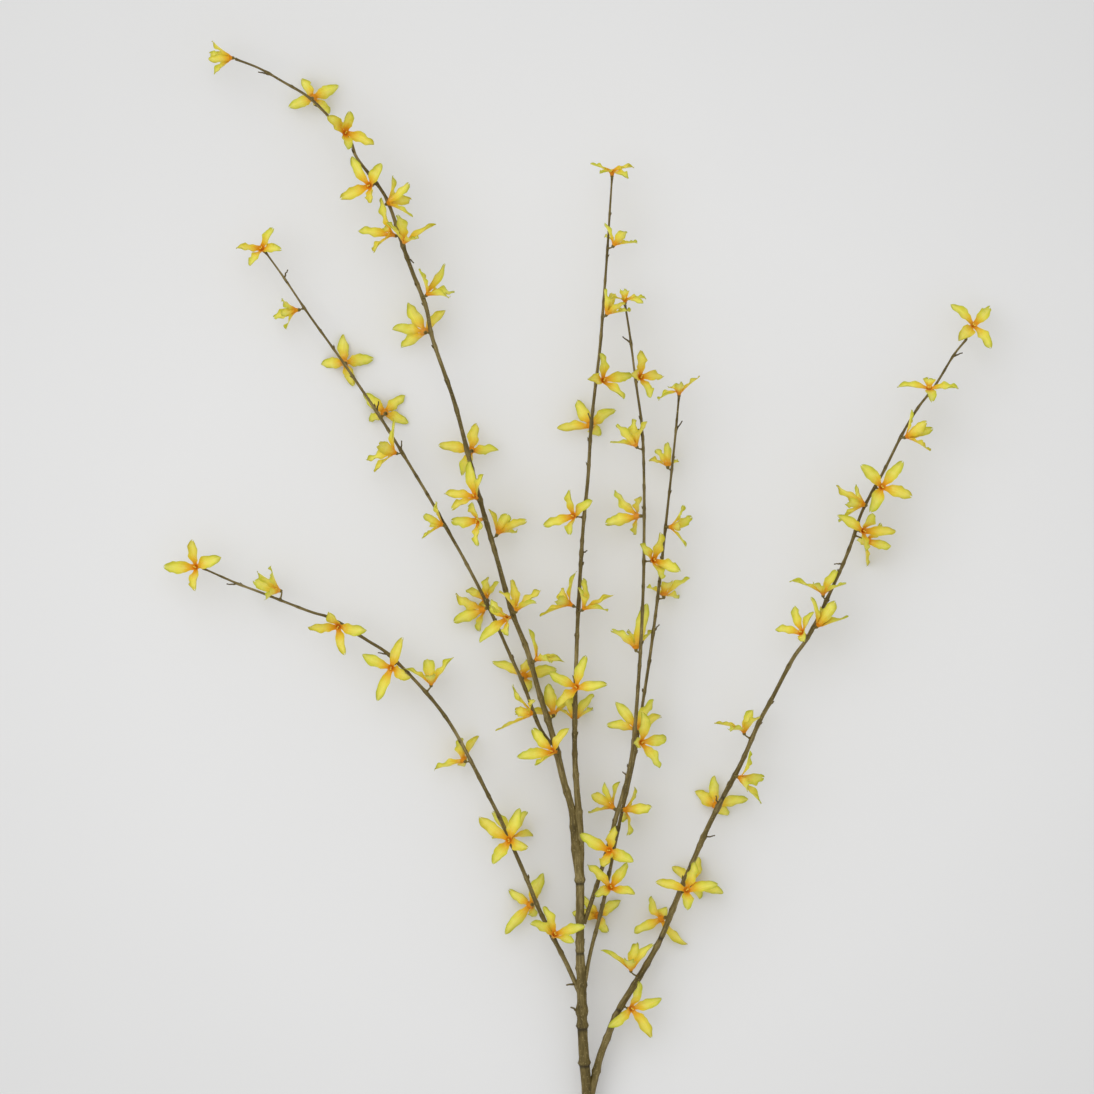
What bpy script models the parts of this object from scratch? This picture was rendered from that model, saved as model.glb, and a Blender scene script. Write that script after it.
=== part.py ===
"""A cut forsythia branch in flower, lying on a flat surface.

Seven woody stems spring from one trunk and carry small four-petalled yellow
blooms. Metres, +Z up: X runs across the branch, Y from its cut end to its
tips, and Z away from the surface. The origin is under the middle of its box.
Routes and blooms are read from the photograph, 1094 pixels square, in pixels.
"""

import math
import random

import bmesh
import bpy
import numpy as np
from mathutils import Vector

MM = 0.001
PIXEL = 0.8 * MM  # real size of one photograph pixel
MIDDLE_PX = (577.4, 621.14)  # the pixel over the origin

PETALS = 4
PETAL_LENGTH = 25.0 * MM  # from the throat's middle to the tip
SMALLEST_PETAL = 19.0 * MM
PETAL_THICKNESS = 0.7 * MM
HALF_WIDTHS = ((0.0, 1.5 * MM), (0.45, 3.5 * MM), (0.75, 4.0 * MM), (0.92, 2.7 * MM), (1.0, 0.5 * MM))
ROW_NEAR, ROW_FAR = 0.45, 0.78  # rows of a petal, as shares of its length
PETAL_FLARE = 0.12  # how far a petal leaves the throat along the axis
PETAL_CHANNEL = 0.22  # rise of the edges over the midrib
MOST_TWIST = 0.55  # radians at the tip
OPENING = math.radians(62)  # usual angle between a petal and the bloom's axis
TIE = math.radians(6)

THROAT_RADIUS = 1.9 * MM
RIM_RADIUS = 2.6 * MM
TUBE_FLOOR = 1.2 * MM  # from the throat's bottom to the tube's base
RIM_DROP = 0.5 * MM
TUBE_LENGTH = 6.5 * MM
SHORTEST_TUBE = 3.4 * MM
CALYX_RADIUS = 1.3 * MM
STALK_RADIUS = 0.9 * MM
BUD_RADIUS = 2.0 * MM
STALK_SINK = 0.9 * MM  # from a shared bud's middle to the end of a stalk in it
REACH = 7.8 * MM  # least distance from a stem's bark to a throat
SHARED_REACH = 10.0 * MM  # the same where several blooms share a bud
SEAT_GAP = 0.35 * MM

FLOOR_CLEARANCE = 2.6 * MM  # lowest inner face of a petal that doesn't carry weight
STEM_BEVEL = 1  # bevel resolution: six sides
STUB_SIDES = 5
LENGTH_OVER_SHOWN = 1.08  # a petal's length over its longest span in the photograph

# Bending petals clear: places tested on a petal, the gaps wanted, and the moves tried.
TEST_SHARES = np.linspace(0.28, 1.0, 10)
TEST_ACROSS = (-1, -0.5, 0, 0.5, 1)
ROWS_AT_THROAT = 3  # tested rows that may lie close to the same bloom's other petals
PETAL_GAP = 3.0 * MM
STEM_GAP = 1.3 * MM
TUBE_GAP = 4.6 * MM
NEIGHBOURHOOD = 60 * MM  # blooms with throats further apart than this can't touch
PETAL_ROOM = 22 * MM  # half the box round a petal in which other points are tested
LEAST_ROLL = 52  # degrees round the axis between neighbouring petals
OPENINGS = (22, 98)  # least and most angle between a petal and the axis, degrees
LENGTHS = (15, 28)  # least and most distance from throat to tip, millimetres
DEPTH_STEPS = (0, 3, -3, 6, -6, 9, -9, 12, -12, 16, -16, 21, -21, 27, -27, 34, -34)  # millimetres
PLAN_TURNS = (0, 12, -12, 24, -24)  # degrees round the throat
BENDS = [(turn, step) for turn in PLAN_TURNS for step in DEPTH_STEPS]
ROUNDS = 3
CLEAR_COST = 0.8  # costs are in millimetres of missing gap
DEPTH_COST = 0.02  # a millimetre of depth
TURN_COST = 0.08  # a degree in plan
STEM_COST = 3
LENGTH_COST = 3  # a millimetre outside the range
OPENING_COST = 0.4  # a degree outside the range
ROLL_COST = 0.25  # a degree too close

# Where a stalk meets its stem.
STALK_LEAN = 5.0 * MM  # how far behind a bloom's tube its stalk starts
STALK_GAP = 2.4 * MM
EASY_BEND = 45  # degrees
SLIDES = range(-24, 25, 3)  # millimetres along the stem
SIDES_TRIED = 12
STALK_SHARES = np.linspace(0.1, 0.75, 8)
PETAL_TOUCH_COST = 4
BARK_TOUCH_COST = 2

# Each stem from its tip to its foot: route in pixels; heights in millimetres
# and widths in pixels, both spread evenly along the route.
STEMS_PX = {
    "trunk": {
        "joins": None,
        "route": [
            (576, 808), (576, 828), (578, 853), (580, 884), (580, 926), (580, 951), (581, 977),
            (582, 1000), (582, 1015), (583, 1040), (585, 1070), (588, 1100), (590, 1140), (592, 1200),
        ],
        "heights": (30, 29, 26, 20, 12, 4.47),
        "widths": (12, 9, 8, 10, 10, 13, 13),
    },
    "right": {
        "joins": "trunk",
        "route": [
            (966, 340), (954, 355), (935, 386), (918, 408), (902, 435), (884, 471), (863, 510),
            (852, 542), (838, 576), (810, 634), (793, 659), (772, 699), (759, 723), (742, 762),
            (723, 798), (706, 832), (691, 867), (676, 902), (661, 939), (641, 975), (619, 1011),
            (606, 1042), (599, 1062), (590, 1100),
        ],
        "heights": (30, 30, 29, 28, 27, 22),
        "widths": (2.2, 2.8, 3.4, 4.4, 5, 6, 8),
    },
    "tall_left": {
        "joins": "trunk",
        "route": [
            (236, 59), (259, 68), (282, 81), (311, 99), (340, 129), (351, 142), (357, 158),
            (380, 188), (390, 207), (403, 246), (412, 271), (426, 307), (433, 340), (454, 401),
            (468, 454), (480, 500), (497, 559), (512, 612), (527, 650), (539, 692), (553, 737),
            (564, 782), (575, 812),
        ],
        "heights": (30, 33, 34, 35, 34, 32),
        "widths": (2.2, 2.8, 4, 4.2, 4.6, 5.2, 7.5),
    },
    "middle": {
        "joins": "trunk",
        "route": [
            (612, 178), (610, 209), (607, 256), (603, 310), (600, 348), (595, 390), (591, 429),
            (588, 478), (583, 530), (579, 597), (577, 640), (575, 714), (575, 760), (577, 812),
        ],
        "heights": (30, 30, 29, 28, 29),
        "widths": (1.9, 3, 3.5, 4, 6),
    },
    "low_left": {
        "joins": "trunk",
        "route": [
            (204, 569), (238, 584), (259, 592), (308, 611), (332, 619), (368, 641), (389, 655),
            (420, 686), (441, 711), (455, 732), (467, 754), (487, 793), (501, 821), (524, 873),
            (541, 914), (566, 963), (580, 995),
        ],
        "heights": (25, 26, 28, 28, 27),
        "widths": (1.9, 3, 3.5, 4, 5),
    },
    "front": {
        "joins": "trunk",
        "route": [
            (625, 304), (630, 336), (636, 383), (642, 428), (644, 479), (644, 541), (643, 594),
            (639, 672), (631, 760), (615, 821), (601, 872), (584, 924),
        ],
        "heights": (33, 36, 38, 44, 38),
        "widths": (2, 2.8, 3.2, 4, 4.5),
    },
    "inner_right": {
        "joins": "trunk",
        "route": [
            (679, 397), (675, 440), (669, 496), (659, 587), (651, 650), (642, 709), (633, 765),
            (619, 826), (604, 900), (591, 951), (585, 983),
        ],
        "heights": (30, 29, 23, 24),
        "widths": (2, 3, 3.2, 4),
    },
    "left": {
        "joins": "tall_left",
        "route": [
            (266, 253), (284, 278), (309, 315), (342, 361), (378, 414), (401, 451), (430, 499),
            (452, 538), (466, 563), (489, 608), (510, 655), (524, 686), (539, 726), (552, 745),
        ],
        "heights": (22, 21, 23, 25, 27),
        "widths": (1.8, 2.8, 3.2, 3.6),
    },
}

# Blooms of each stem, one list for each node: a bloom alone, or those that
# spring from one bud. A bloom is its throat's pixel, the way it faces, as an
# angle round the picture and a lift towards the viewer in degrees, and the
# pixels of the petal tips that show. The rest of its four petals fill the
# widest spaces between them. A tip's third number forces it up or down.
BLOOMS_PX = {
    "low_left": [
        [(195, 567, 180, 60, (193, 539), (163, 567), (195, 590), (221, 557))],
        [(277, 590, 165, 10, (257, 571), (251, 586), (265, 599))],
        [(338, 627, 225, 70, (330, 612), (308, 627), (345, 655), (367, 630))],
        [(391, 668, 225, 70, (403, 637), (362, 654), (377, 701), (411, 677))],
        [(431, 682, 90, 15, (427, 659), (453, 657), (404, 668))],
        [(463, 760, 140, -40, (434, 770), (473, 734), (461, 738))],
        [
            (509, 840, 200, 70, (479, 816), (520, 808), (527, 847), (493, 863)),
            (511, 836, 90, -45, (492, 812), (527, 811)),
        ],
        [
            (530, 906, 200, -70, (509, 891), (505, 935), (544, 874), (536, 918)),
            (555, 934, 60, 55, (544, 906), (531, 922), (585, 926), (574, 943)),
        ],
    ],
    "left": [
        [(261, 248, 135, 55, (274, 228), (282, 250), (250, 267), (236, 248))],
        [(293, 310, 185, 10, (282, 299), (280, 311), (273, 317))],
        [(344, 362, 135, -75, (343, 333), (373, 358), (320, 364), (353, 386))],
        [
            (384, 412, 135, -75, (405, 395), (408, 423), (369, 421), (363, 393)),
            (393, 452, 160, 20, (380, 445), (367, 461), (396, 420)),
        ],
        [(440, 524, 160, 0, (423, 515), (430, 523))],
        [
            (485, 598, 135, -45, (466, 590), (488, 577), (499, 582)),
            (482, 610, 200, -45, (466, 601), (453, 622), (479, 632)),
        ],
        [
            (524, 676, 60, -60, (495, 656), (526, 661), (557, 670)),
            (530, 713, 170, 0, (512, 685), (537, 701), (496, 732)),
        ],
    ],
    "tall_left": [
        [(229, 58, 180, 5, (212, 42), (209, 53), (209, 60), (214, 74))],
        [(313, 97, 45, -75, (300, 77), (339, 85), (288, 106), (328, 112))],
        [(346, 133, 45, 70, (350, 113), (329, 117), (374, 146), (348, 152))],
        [
            (369, 186, 190, 65, (351, 157), (383, 164), (340, 199), (372, 204)),
            (390, 203, 25, 0, (410, 184), (411, 199)),
        ],
        [
            (390, 234, 160, 30, (358, 231), (373, 252), (382, 198)),
            (405, 241, 70, 20, (436, 224), (397, 215)),
        ],
        [(429, 293, 45, 10, (418, 270), (456, 273), (454, 293))],
        [(424, 331, 135, -65, (408, 302), (394, 342), (401, 348), (445, 310))],
        [(471, 450, 135, -75, (477, 422), (498, 450), (438, 445), (462, 475))],
        [
            (474, 496, 140, 45, (470, 461), (483, 475), (444, 494), (452, 510)),
            (477, 521, 200, 40, (451, 521), (477, 546), (473, 502)),
            (499, 531, 60, -20, (488, 509), (514, 519), (527, 521)),
        ],
        [
            (506, 618, 190, 50, (499, 595), (491, 604), (479, 642), (508, 635)),
            (517, 608, 75, 10, (511, 580), (541, 591)),
        ],
        [(538, 658, 40, 15, (527, 629), (557, 653), (565, 662))],
        [
            (553, 713, 100, -40, (548, 684), (515, 716)),
            (552, 751, 170, 45, (533, 728), (517, 758), (536, 766), (569, 728)),
        ],
    ],
    "middle": [
        [(612, 171, 90, 20, (590, 165), (634, 167), (600, 175), (628, 180))],
        [(615, 243, 60, 0, (626, 231), (605, 236))],
        [(608, 312, 60, 0, (604, 289), (613, 292), (625, 303))],
        [(604, 380, 20, 55, (600, 353), (588, 379), (632, 375), (624, 399))],
        [(590, 425, 135, -65, (577, 400), (615, 409), (557, 429), (600, 436))],
        [(573, 516, 170, 50, (569, 490), (593, 501), (543, 526), (569, 534))],
        [
            (568, 603, 150, 10, (561, 589), (558, 600), (540, 617), (576, 571)),
            (585, 607, 50, 10, (583, 578), (614, 594), (608, 610)),
        ],
        [
            (576, 687, 180, 70, (586, 655), (607, 684), (549, 672), (557, 707)),
            (575, 718, 90, -30, (594, 695), (594, 711), (569, 693), (558, 710)),
        ],
    ],
    "front": [
        [(625, 299, 90, 20, (624, 289), (646, 299), (643, 305), (611, 299))],
        [(641, 377, 20, 55, (639, 350), (663, 376), (651, 397), (631, 374))],
        [(635, 444, 120, 0, (616, 425), (634, 419))],
        [(636, 516, 180, -40, (615, 490), (641, 497), (605, 524), (637, 535))],
        [(654, 560, 20, 55, (661, 533), (680, 571), (661, 580), (639, 544))],
        [(636, 647, 90, -30, (611, 630), (633, 629), (653, 630), (647, 603))],
        [
            (636, 728, 100, -60, (615, 702), (606, 726), (654, 700), (662, 717)),
            (642, 742, 0, 55, (643, 712), (666, 738), (659, 768), (632, 742)),
        ],
        [
            (611, 806, 140, -20, (605, 782), (592, 794), (589, 815), (620, 782)),
            (627, 810, 0, -10, (636, 788), (652, 807), (627, 836), (620, 821)),
        ],
        [(609, 850, 180, 70, (615, 826), (580, 833), (633, 861), (604, 867))],
    ],
    "inner_right": [
        [(679, 391, 90, 20, (700, 377), (669, 392), (660, 404), (679, 385))],
        [(668, 464, 90, -30, (656, 449), (667, 442), (678, 462))],
        [(673, 527, 0, 15, (692, 517), (686, 547))],
        [(664, 594, 90, -30, (691, 579), (679, 600), (648, 587), (664, 580))],
        [
            (611, 887, 60, 65, (627, 863), (635, 895), (595, 895), (587, 865)),
            (598, 917, 200, -65, (621, 902), (609, 934), (584, 898), (572, 914)),
        ],
    ],
    "right": [
        [(974, 325, 45, 55, (951, 304), (991, 307), (958, 341), (991, 349))],
        [(929, 388, 90, 40, (897, 386), (958, 389), (929, 379), (931, 402))],
        [(908, 436, 25, 0, (926, 422), (933, 429))],
        [
            (882, 487, 45, 70, (861, 465), (903, 461), (912, 497), (870, 512)),
            (862, 504, 160, 0, (832, 492), (858, 485)),
        ],
        [
            (864, 531, 0, 60, (840, 510), (872, 513), (896, 531), (864, 551)),
            (868, 541, 330, -50, (891, 547),),
        ],
        [
            (823, 592, 90, 15, (790, 580), (837, 570), (846, 584)),
            (801, 632, 140, 40, (775, 629), (795, 606), (804, 642)),
            (819, 624, 50, 0, (824, 597), (849, 618), (810, 597)),
        ],
        [(744, 730, 95, 10, (714, 723), (759, 716), (729, 731))],
        [
            (741, 778, 340, 10, (764, 778), (761, 804), (749, 750)),
            (716, 806, 135, -65, (715, 776), (696, 793), (749, 800), (730, 817)),
        ],
        [
            (687, 890, 60, 65, (695, 861), (655, 882), (718, 884), (686, 910)),
            (692, 884, 45, -60, (673, 868), (724, 894), (700, 900), (699, 857)),
            (661, 920, 200, -45, (651, 897), (668, 909), (696, 933)),
        ],
        [
            (631, 968, 90, 25, (601, 950), (637, 944), (653, 944), (628, 959)),
            (632, 1009, 0, 60, (639, 981), (662, 999), (652, 1038), (608, 1027)),
        ],
    ],
}

# Petals that bear on the surface: stem, node, bloom and petal in the table.
RESTING_PETALS = {("left", 2, 0, 2), ("right", 4, 1, 1)}

# Bud stubs and dead twiglets: stem, root pixel and tip pixel.
STUBS_PX = [
    ("tall_left", (269, 71), (259, 72)),
    ("tall_left", (408, 257), (413, 262)),
    ("left", (284, 278), (287, 270)),
    ("left", (378, 411), (378, 402)),
    ("left", (401, 451), (401, 441)),
    ("low_left", (238, 584), (227, 585)),
    ("low_left", (388, 655), (379, 653)),
    ("middle", (591, 423), (588, 413)),
    ("middle", (582, 553), (587, 551)),
    ("front", (631, 343), (623, 337)),
    ("front", (642, 438), (639, 430)),
    ("front", (628, 776), (623, 772)),
    ("inner_right", (677, 430), (682, 422)),
    ("inner_right", (654, 632), (659, 625)),
    ("right", (954, 357), (962, 353)),
    ("right", (841, 563), (835, 564)),
    ("right", (718, 806), (716, 796)),
    ("right", (705, 838), (714, 836)),
    ("trunk", (580, 985), (567, 985)),
    ("trunk", (581, 1013), (571, 1008)),
]
STUB_RADIUS = 0.9 * MM
STUB_TIP_RADIUS = 0.45 * MM

WOOD_COLOUR = (0.16, 0.12, 0.06, 1.0)
PETAL_COLOUR = (0.78, 0.62, 0.04, 1.0)


def flat(pixel):
    """The place on the surface, in metres, under a pixel."""
    return np.array(((pixel[0] - MIDDLE_PX[0]) * PIXEL, (MIDDLE_PX[1] - pixel[1]) * PIXEL))


def unit(vector):
    return vector / np.linalg.norm(vector)


def spread(values, shares):
    return np.interp(shares, np.linspace(0, 1, len(values)), values)


def stem_lines():
    """Axis points and radii of each stem; a foot takes the height of the stem it joins."""
    lines = {}
    for name, stem in STEMS_PX.items():
        plan = np.array([flat(pixel) for pixel in stem["route"]])
        steps = np.linalg.norm(np.diff(plan, axis=0), axis=1)
        shares = np.concatenate(([0], np.cumsum(steps))) / steps.sum()
        heights = [height * MM for height in stem["heights"]]
        if stem["joins"]:
            heights.append(nearest(lines[stem["joins"]], plan[-1])[0][2])
        axis = np.column_stack((plan, spread(heights, shares)))
        lines[name] = (axis, spread(stem["widths"], shares) * PIXEL / 2)
    return lines


def nearest(line, place):
    """The point of a stem's axis that lies nearest in plan, its radius and the axis's direction."""
    axis, radii = line
    starts, runs = axis[:-1], np.diff(axis, axis=0)
    along = ((place - starts[:, :2]) * runs[:, :2]).sum(1) / (runs[:, :2] ** 2).sum(1)
    along = np.clip(along, 0, 1)
    points = starts + runs * along[:, None]
    best = int(np.argmin(np.linalg.norm(points[:, :2] - place, axis=1)))
    radius = radii[best] + (radii[best + 1] - radii[best]) * along[best]
    return points[best], radius, unit(runs[best])


def seat_blooms(lines):
    """Every bloom with its throat, axis and petal tips, before its petals are bent clear."""
    blooms = []
    for stem, nodes in BLOOMS_PX.items():
        for number, rows in enumerate(nodes):
            for place, row in enumerate(rows):
                reach = SHARED_REACH if len(rows) > 1 else REACH
                blooms.append(seat_bloom(lines[stem], (stem, number, place), row, reach))
    return blooms


def seat_bloom(line, key, row, reach):
    x, y, turn, lift, *tips = row
    turn, lift = math.radians(turn), math.radians(lift)
    axis = np.array((math.cos(turn) * math.cos(lift), math.sin(turn) * math.cos(lift), math.sin(lift)))
    plan = flat((x, y))
    root, radius, _ = nearest(line, plan)
    aside = np.linalg.norm(plan - root[:2])
    rise = math.sqrt(max((radius + reach) ** 2 - aside**2, 0.0))
    throat = np.array((*plan, root[2] + math.copysign(rise, lift)))
    tube = min(TUBE_LENGTH, max(SHORTEST_TUBE, (throat - root) @ axis - radius - 2 * STALK_RADIUS))
    spans = [np.linalg.norm(flat(tip[:2]) - plan) for tip in tips]
    length = min(PETAL_LENGTH, max(SMALLEST_PETAL, LENGTH_OVER_SHOWN * max(spans)))
    bloom = {"key": key, "throat": throat, "axis": axis, "tube": tube, "length": length}
    shown = shown_tips(bloom, tips)
    bloom["tips"] = shown + hidden_tips(bloom, shown)
    bloom["twists"] = twists(bloom)
    return bloom


def shown_tips(bloom, tips):
    """Tips over their pixels; of the two depths that suit a petal's length, the one that opens as usual."""
    places, turn_of_tie = [], 1
    for tip in tips:
        plan = flat(tip[:2])
        span = np.linalg.norm(plan - bloom["throat"][:2])
        depth = math.sqrt(max(bloom["length"] ** 2 - span**2, 0.0))
        options = [np.array((*plan, bloom["throat"][2] + side * depth)) for side in (1, -1)]
        errors = [abs(opening(bloom, option) - OPENING) for option in options]
        if len(tip) > 2:
            best = 0 if tip[2] > 0 else 1
        elif abs(errors[0] - errors[1]) < TIE:
            best = 0 if turn_of_tie > 0 else 1
            turn_of_tie = -turn_of_tie
        else:
            best = int(errors[1] < errors[0])
        places.append(options[best])
    return places


def opening(bloom, tip):
    return math.acos(np.clip(unit(tip - bloom["throat"]) @ bloom["axis"], -1, 1))


def side_axes(axis):
    """Two directions square to an axis and to each other."""
    helper = np.array((0.0, 0.0, 1.0)) if abs(axis[2]) < 0.9 else np.array((0.0, 1.0, 0.0))
    first = unit(np.cross(helper, axis))
    return first, np.cross(axis, first)


def roll(bloom, tip):
    first, second = side_axes(bloom["axis"])
    away = tip - bloom["throat"]
    return math.atan2(away @ second, away @ first) % (2 * math.pi)


def hidden_tips(bloom, shown):
    """The petals that don't show, spaced evenly in the wide gaps between those that do."""
    rolls = sorted(roll(bloom, place) for place in shown)
    missing = PETALS - len(rolls)
    first, second = side_axes(bloom["axis"])
    added = []
    following = rolls[1:] + [rolls[0] + 2 * math.pi]
    gaps = [(end - start, start) for start, end in zip(rolls, following)]
    for gap, start in sorted(gaps, reverse=True):
        fill = min(missing, max(1, round(gap / (math.pi / 2)) - 1))
        for step in range(fill):
            angle = start + gap * (step + 1) / (fill + 1)
            side = first * math.cos(angle) + second * math.sin(angle)
            away = bloom["axis"] * math.cos(OPENING) + side * math.sin(OPENING)
            added.append(bloom["throat"] + away * bloom["length"])
        missing -= fill
        if missing <= 0:
            break
    return added


def twists(bloom):
    draw = random.Random("-".join(str(part) for part in bloom["key"]))
    return [draw.uniform(-MOST_TWIST, MOST_TWIST) for _ in range(PETALS)]


def petal_sheet(bloom, tip, twist, shares, across, lowest):
    """Points of a petal's inner face, and its inward normals, for shares of its length and width."""
    axis, throat = bloom["axis"], bloom["throat"]
    away = tip - throat
    radial = unit(away - axis * (away @ axis) + 1e-9)
    start = throat + radial * THROAT_RADIUS
    along = unit(tip - start)
    wide = unit(np.cross(axis, radial))
    inward = np.cross(along, wide)
    bend = start + (tip - start) * ROW_NEAR + axis * PETAL_FLARE * bloom["length"]
    t = np.asarray(shares)[:, None, None]
    s = np.asarray(across)[None, :, None]
    middle = (1 - t) ** 2 * start + 2 * (1 - t) * t * bend + t**2 * tip
    half = np.interp(t, *zip(*HALF_WIDTHS)) * bloom["length"] / PETAL_LENGTH
    cos, sin = np.cos(twist * t**2), np.sin(twist * t**2)
    wide_t, inward_t = wide * cos + inward * sin, inward * cos - wide * sin
    points = middle + wide_t * s * half + inward_t * PETAL_CHANNEL * half * s**2
    points[..., 2] = np.maximum(points[..., 2], lowest)
    return points, np.broadcast_to(inward_t, points.shape)


def lowest_of(bloom, petal):
    return 0.0 if (*bloom["key"], petal) in RESTING_PETALS else FLOOR_CLEARANCE


def stem_runs(lines):
    """The straight runs of all stems: starts, vectors and radii."""
    starts = np.concatenate([axis[:-1] for axis, _ in lines.values()])
    runs = np.concatenate([np.diff(axis, axis=0) for axis, _ in lines.values()])
    thick = np.concatenate([np.maximum(radii[:-1], radii[1:]) for _, radii in lines.values()])
    return starts, runs, thick


def bend_clear(blooms, lines):
    """Bends each petal, in depth first, until it is clear of stems, tubes and other petals."""
    stems = stem_runs(lines)
    for bloom in blooms:
        bloom["first_tips"] = [tip.copy() for tip in bloom["tips"]]
        for petal, tip in enumerate(bloom["tips"]):
            if (*bloom["key"], petal) in RESTING_PETALS:
                tip[2] = 0.0
            tip[2] = max(tip[2], lowest_of(bloom, petal))
        bloom["samples"] = [samples(bloom, petal, tip) for petal, tip in enumerate(bloom["tips"])]
        base = bloom["throat"] - bloom["axis"] * bloom["tube"]
        bloom["tube_points"] = np.linspace(bloom["throat"], base, 4)
    for _ in range(ROUNDS):
        for bloom in blooms:
            near = neighbours(blooms, bloom["throat"])
            for petal in range(PETALS):
                if (*bloom["key"], petal) in RESTING_PETALS:
                    continue
                clear_petal(bloom, petal, near, stems)


def neighbours(blooms, place):
    return [other for other in blooms if np.linalg.norm(other["throat"] - place) < NEIGHBOURHOOD]


def samples(bloom, petal, tip):
    lowest = lowest_of(bloom, petal)
    grid, _ = petal_sheet(bloom, tip, bloom["twists"][petal], TEST_SHARES, TEST_ACROSS, lowest)
    return grid.reshape(-1, 3)


def clear_petal(bloom, petal, near, stems):
    others = [other for other in near if other is not bloom]
    crowd = [sheet for other in others for sheet in other["samples"]]
    skipped = len(TEST_ACROSS) * ROWS_AT_THROAT
    crowd += [bloom["samples"][k][skipped:] for k in range(PETALS) if k != petal]
    crowd = np.concatenate(crowd)
    tubes = np.concatenate([other["tube_points"] for other in others] or [np.zeros((0, 3))])
    best_cost, best_tip = math.inf, None
    for turn, step in BENDS:
        tip = moved_tip(bloom, petal, turn, step)
        cost = petal_cost(bloom, petal, tip, crowd, tubes, stems)
        cost += DEPTH_COST * abs(step) + TURN_COST * abs(turn)
        if cost < best_cost:
            best_cost, best_tip = cost, tip
        if best_cost < CLEAR_COST:
            break
    bloom["tips"][petal] = best_tip
    bloom["samples"][petal] = samples(bloom, petal, best_tip)


def moved_tip(bloom, petal, turn, step):
    away = bloom["first_tips"][petal] - bloom["throat"]
    cos, sin = math.cos(math.radians(turn)), math.sin(math.radians(turn))
    away = np.array((away[0] * cos - away[1] * sin, away[0] * sin + away[1] * cos, away[2] + step * MM))
    tip = bloom["throat"] + away
    tip[2] = max(tip[2], FLOOR_CLEARANCE)
    return tip


def petal_cost(bloom, petal, tip, crowd, tubes, stems):
    """Millimetres by which the petal comes too near to things, plus what its shape strains."""
    points = samples(bloom, petal, tip)
    cost = shortfall(points, crowd, PETAL_GAP)
    if len(tubes):
        cost += shortfall(points, tubes, TUBE_GAP)
    cost += stem_shortfall(points, *stems)
    length = np.linalg.norm(tip - bloom["throat"]) / MM
    cost += LENGTH_COST * outside(length, LENGTHS)
    cost += OPENING_COST * outside(math.degrees(opening(bloom, tip)), OPENINGS)
    for other in range(PETALS):
        if other != petal:
            apart = abs(roll(bloom, tip) - roll(bloom, bloom["tips"][other]))
            apart = math.degrees(min(apart, 2 * math.pi - apart))
            cost += ROLL_COST * max(0.0, LEAST_ROLL - apart)
    return cost


def outside(value, limits):
    return max(0.0, limits[0] - value, value - limits[1])


def shortfall(points, others, gap):
    """The sum, in millimetres, of what the points' distances to other points miss of a gap."""
    close = others[(np.abs(others - points.mean(0)) < PETAL_ROOM).all(1)]
    if not len(close):
        return 0.0
    squares = ((points[:, None, :] - close[None, :, :]) ** 2).sum(2)
    return float(np.maximum(gap - np.sqrt(squares.min(1)), 0).sum() / MM)


def stem_shortfall(points, starts, runs, thick):
    away = points[:, None, :] - starts[None]
    along = np.clip((away * runs).sum(2) / (runs**2).sum(1), 0, 1)
    gaps = np.linalg.norm(away - runs * along[..., None], axis=2) - thick
    return float(STEM_COST * np.maximum(STEM_GAP - gaps.min(1), 0).sum() / MM)


def material(name, colour, roughness):
    made = bpy.data.materials.new(name)
    made.use_nodes = True
    shader = made.node_tree.nodes["Principled BSDF"]
    shader.inputs["Base Color"].default_value = colour
    shader.inputs["Roughness"].default_value = roughness
    return made


def add_object(name, mesh, collection):
    made = bpy.data.objects.new(name, mesh)
    collection.objects.link(made)
    return made


def join_by_union(name, first, others, collection):
    """One solid from a few overlapping ones: the others are joined to the first in turn and removed."""
    for other in others:
        union = first.modifiers.new("Union", "BOOLEAN")
        union.operation = "UNION"
        union.object = other
        union.solver = "MANIFOLD"
    return applied(name, first, others, collection)


def join_collection(name, first, others, collection):
    """One solid from many that overlap: the others are joined to the first at once and removed."""
    group = bpy.data.collections.new(name + " pieces")
    bpy.context.scene.collection.children.link(group)
    for other in others:
        for holder in other.users_collection:
            holder.objects.unlink(other)
        group.objects.link(other)
    union = first.modifiers.new("Union", "BOOLEAN")
    union.operation = "UNION"
    union.operand_type = "COLLECTION"
    union.collection = group
    union.solver = "EXACT"
    made = applied(name, first, others, collection)
    bpy.data.collections.remove(group)
    return made


def applied(name, first, others, collection):
    bpy.context.view_layer.update()
    joined = bpy.data.meshes.new_from_object(first.evaluated_get(bpy.context.evaluated_depsgraph_get()))
    for old in [first, *others]:
        bpy.data.objects.remove(old)
    bm = bmesh.new()
    bm.from_mesh(joined)
    bmesh.ops.triangulate(bm, faces=bm.faces)
    bm.to_mesh(joined)
    bm.free()
    return add_object(name, joined, collection)


def stem_solid(name, line, collection):
    """A tapering tube along a stem's axis, as a mesh with its caps welded on."""
    axis, radii = line
    curve = bpy.data.curves.new(name, "CURVE")
    curve.dimensions = "3D"
    curve.bevel_depth = 1.0
    curve.bevel_resolution = STEM_BEVEL
    curve.use_fill_caps = True
    spline = curve.splines.new("POLY")
    spline.points.add(len(axis) - 1)
    for point, place, radius in zip(spline.points, axis, radii):
        point.co = (*place, 1.0)
        point.radius = radius
    tube = add_object(name + " curve", curve, collection)
    bpy.context.view_layer.update()
    mesh = bpy.data.meshes.new_from_object(tube.evaluated_get(bpy.context.evaluated_depsgraph_get()))
    bpy.data.objects.remove(tube)
    bm = bmesh.new()
    bm.from_mesh(mesh)
    bmesh.ops.remove_doubles(bm, verts=bm.verts, dist=1e-6)
    bmesh.ops.recalc_face_normals(bm, faces=bm.faces)
    bm.to_mesh(mesh)
    bm.free()
    return add_object(name, mesh, collection)


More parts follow.
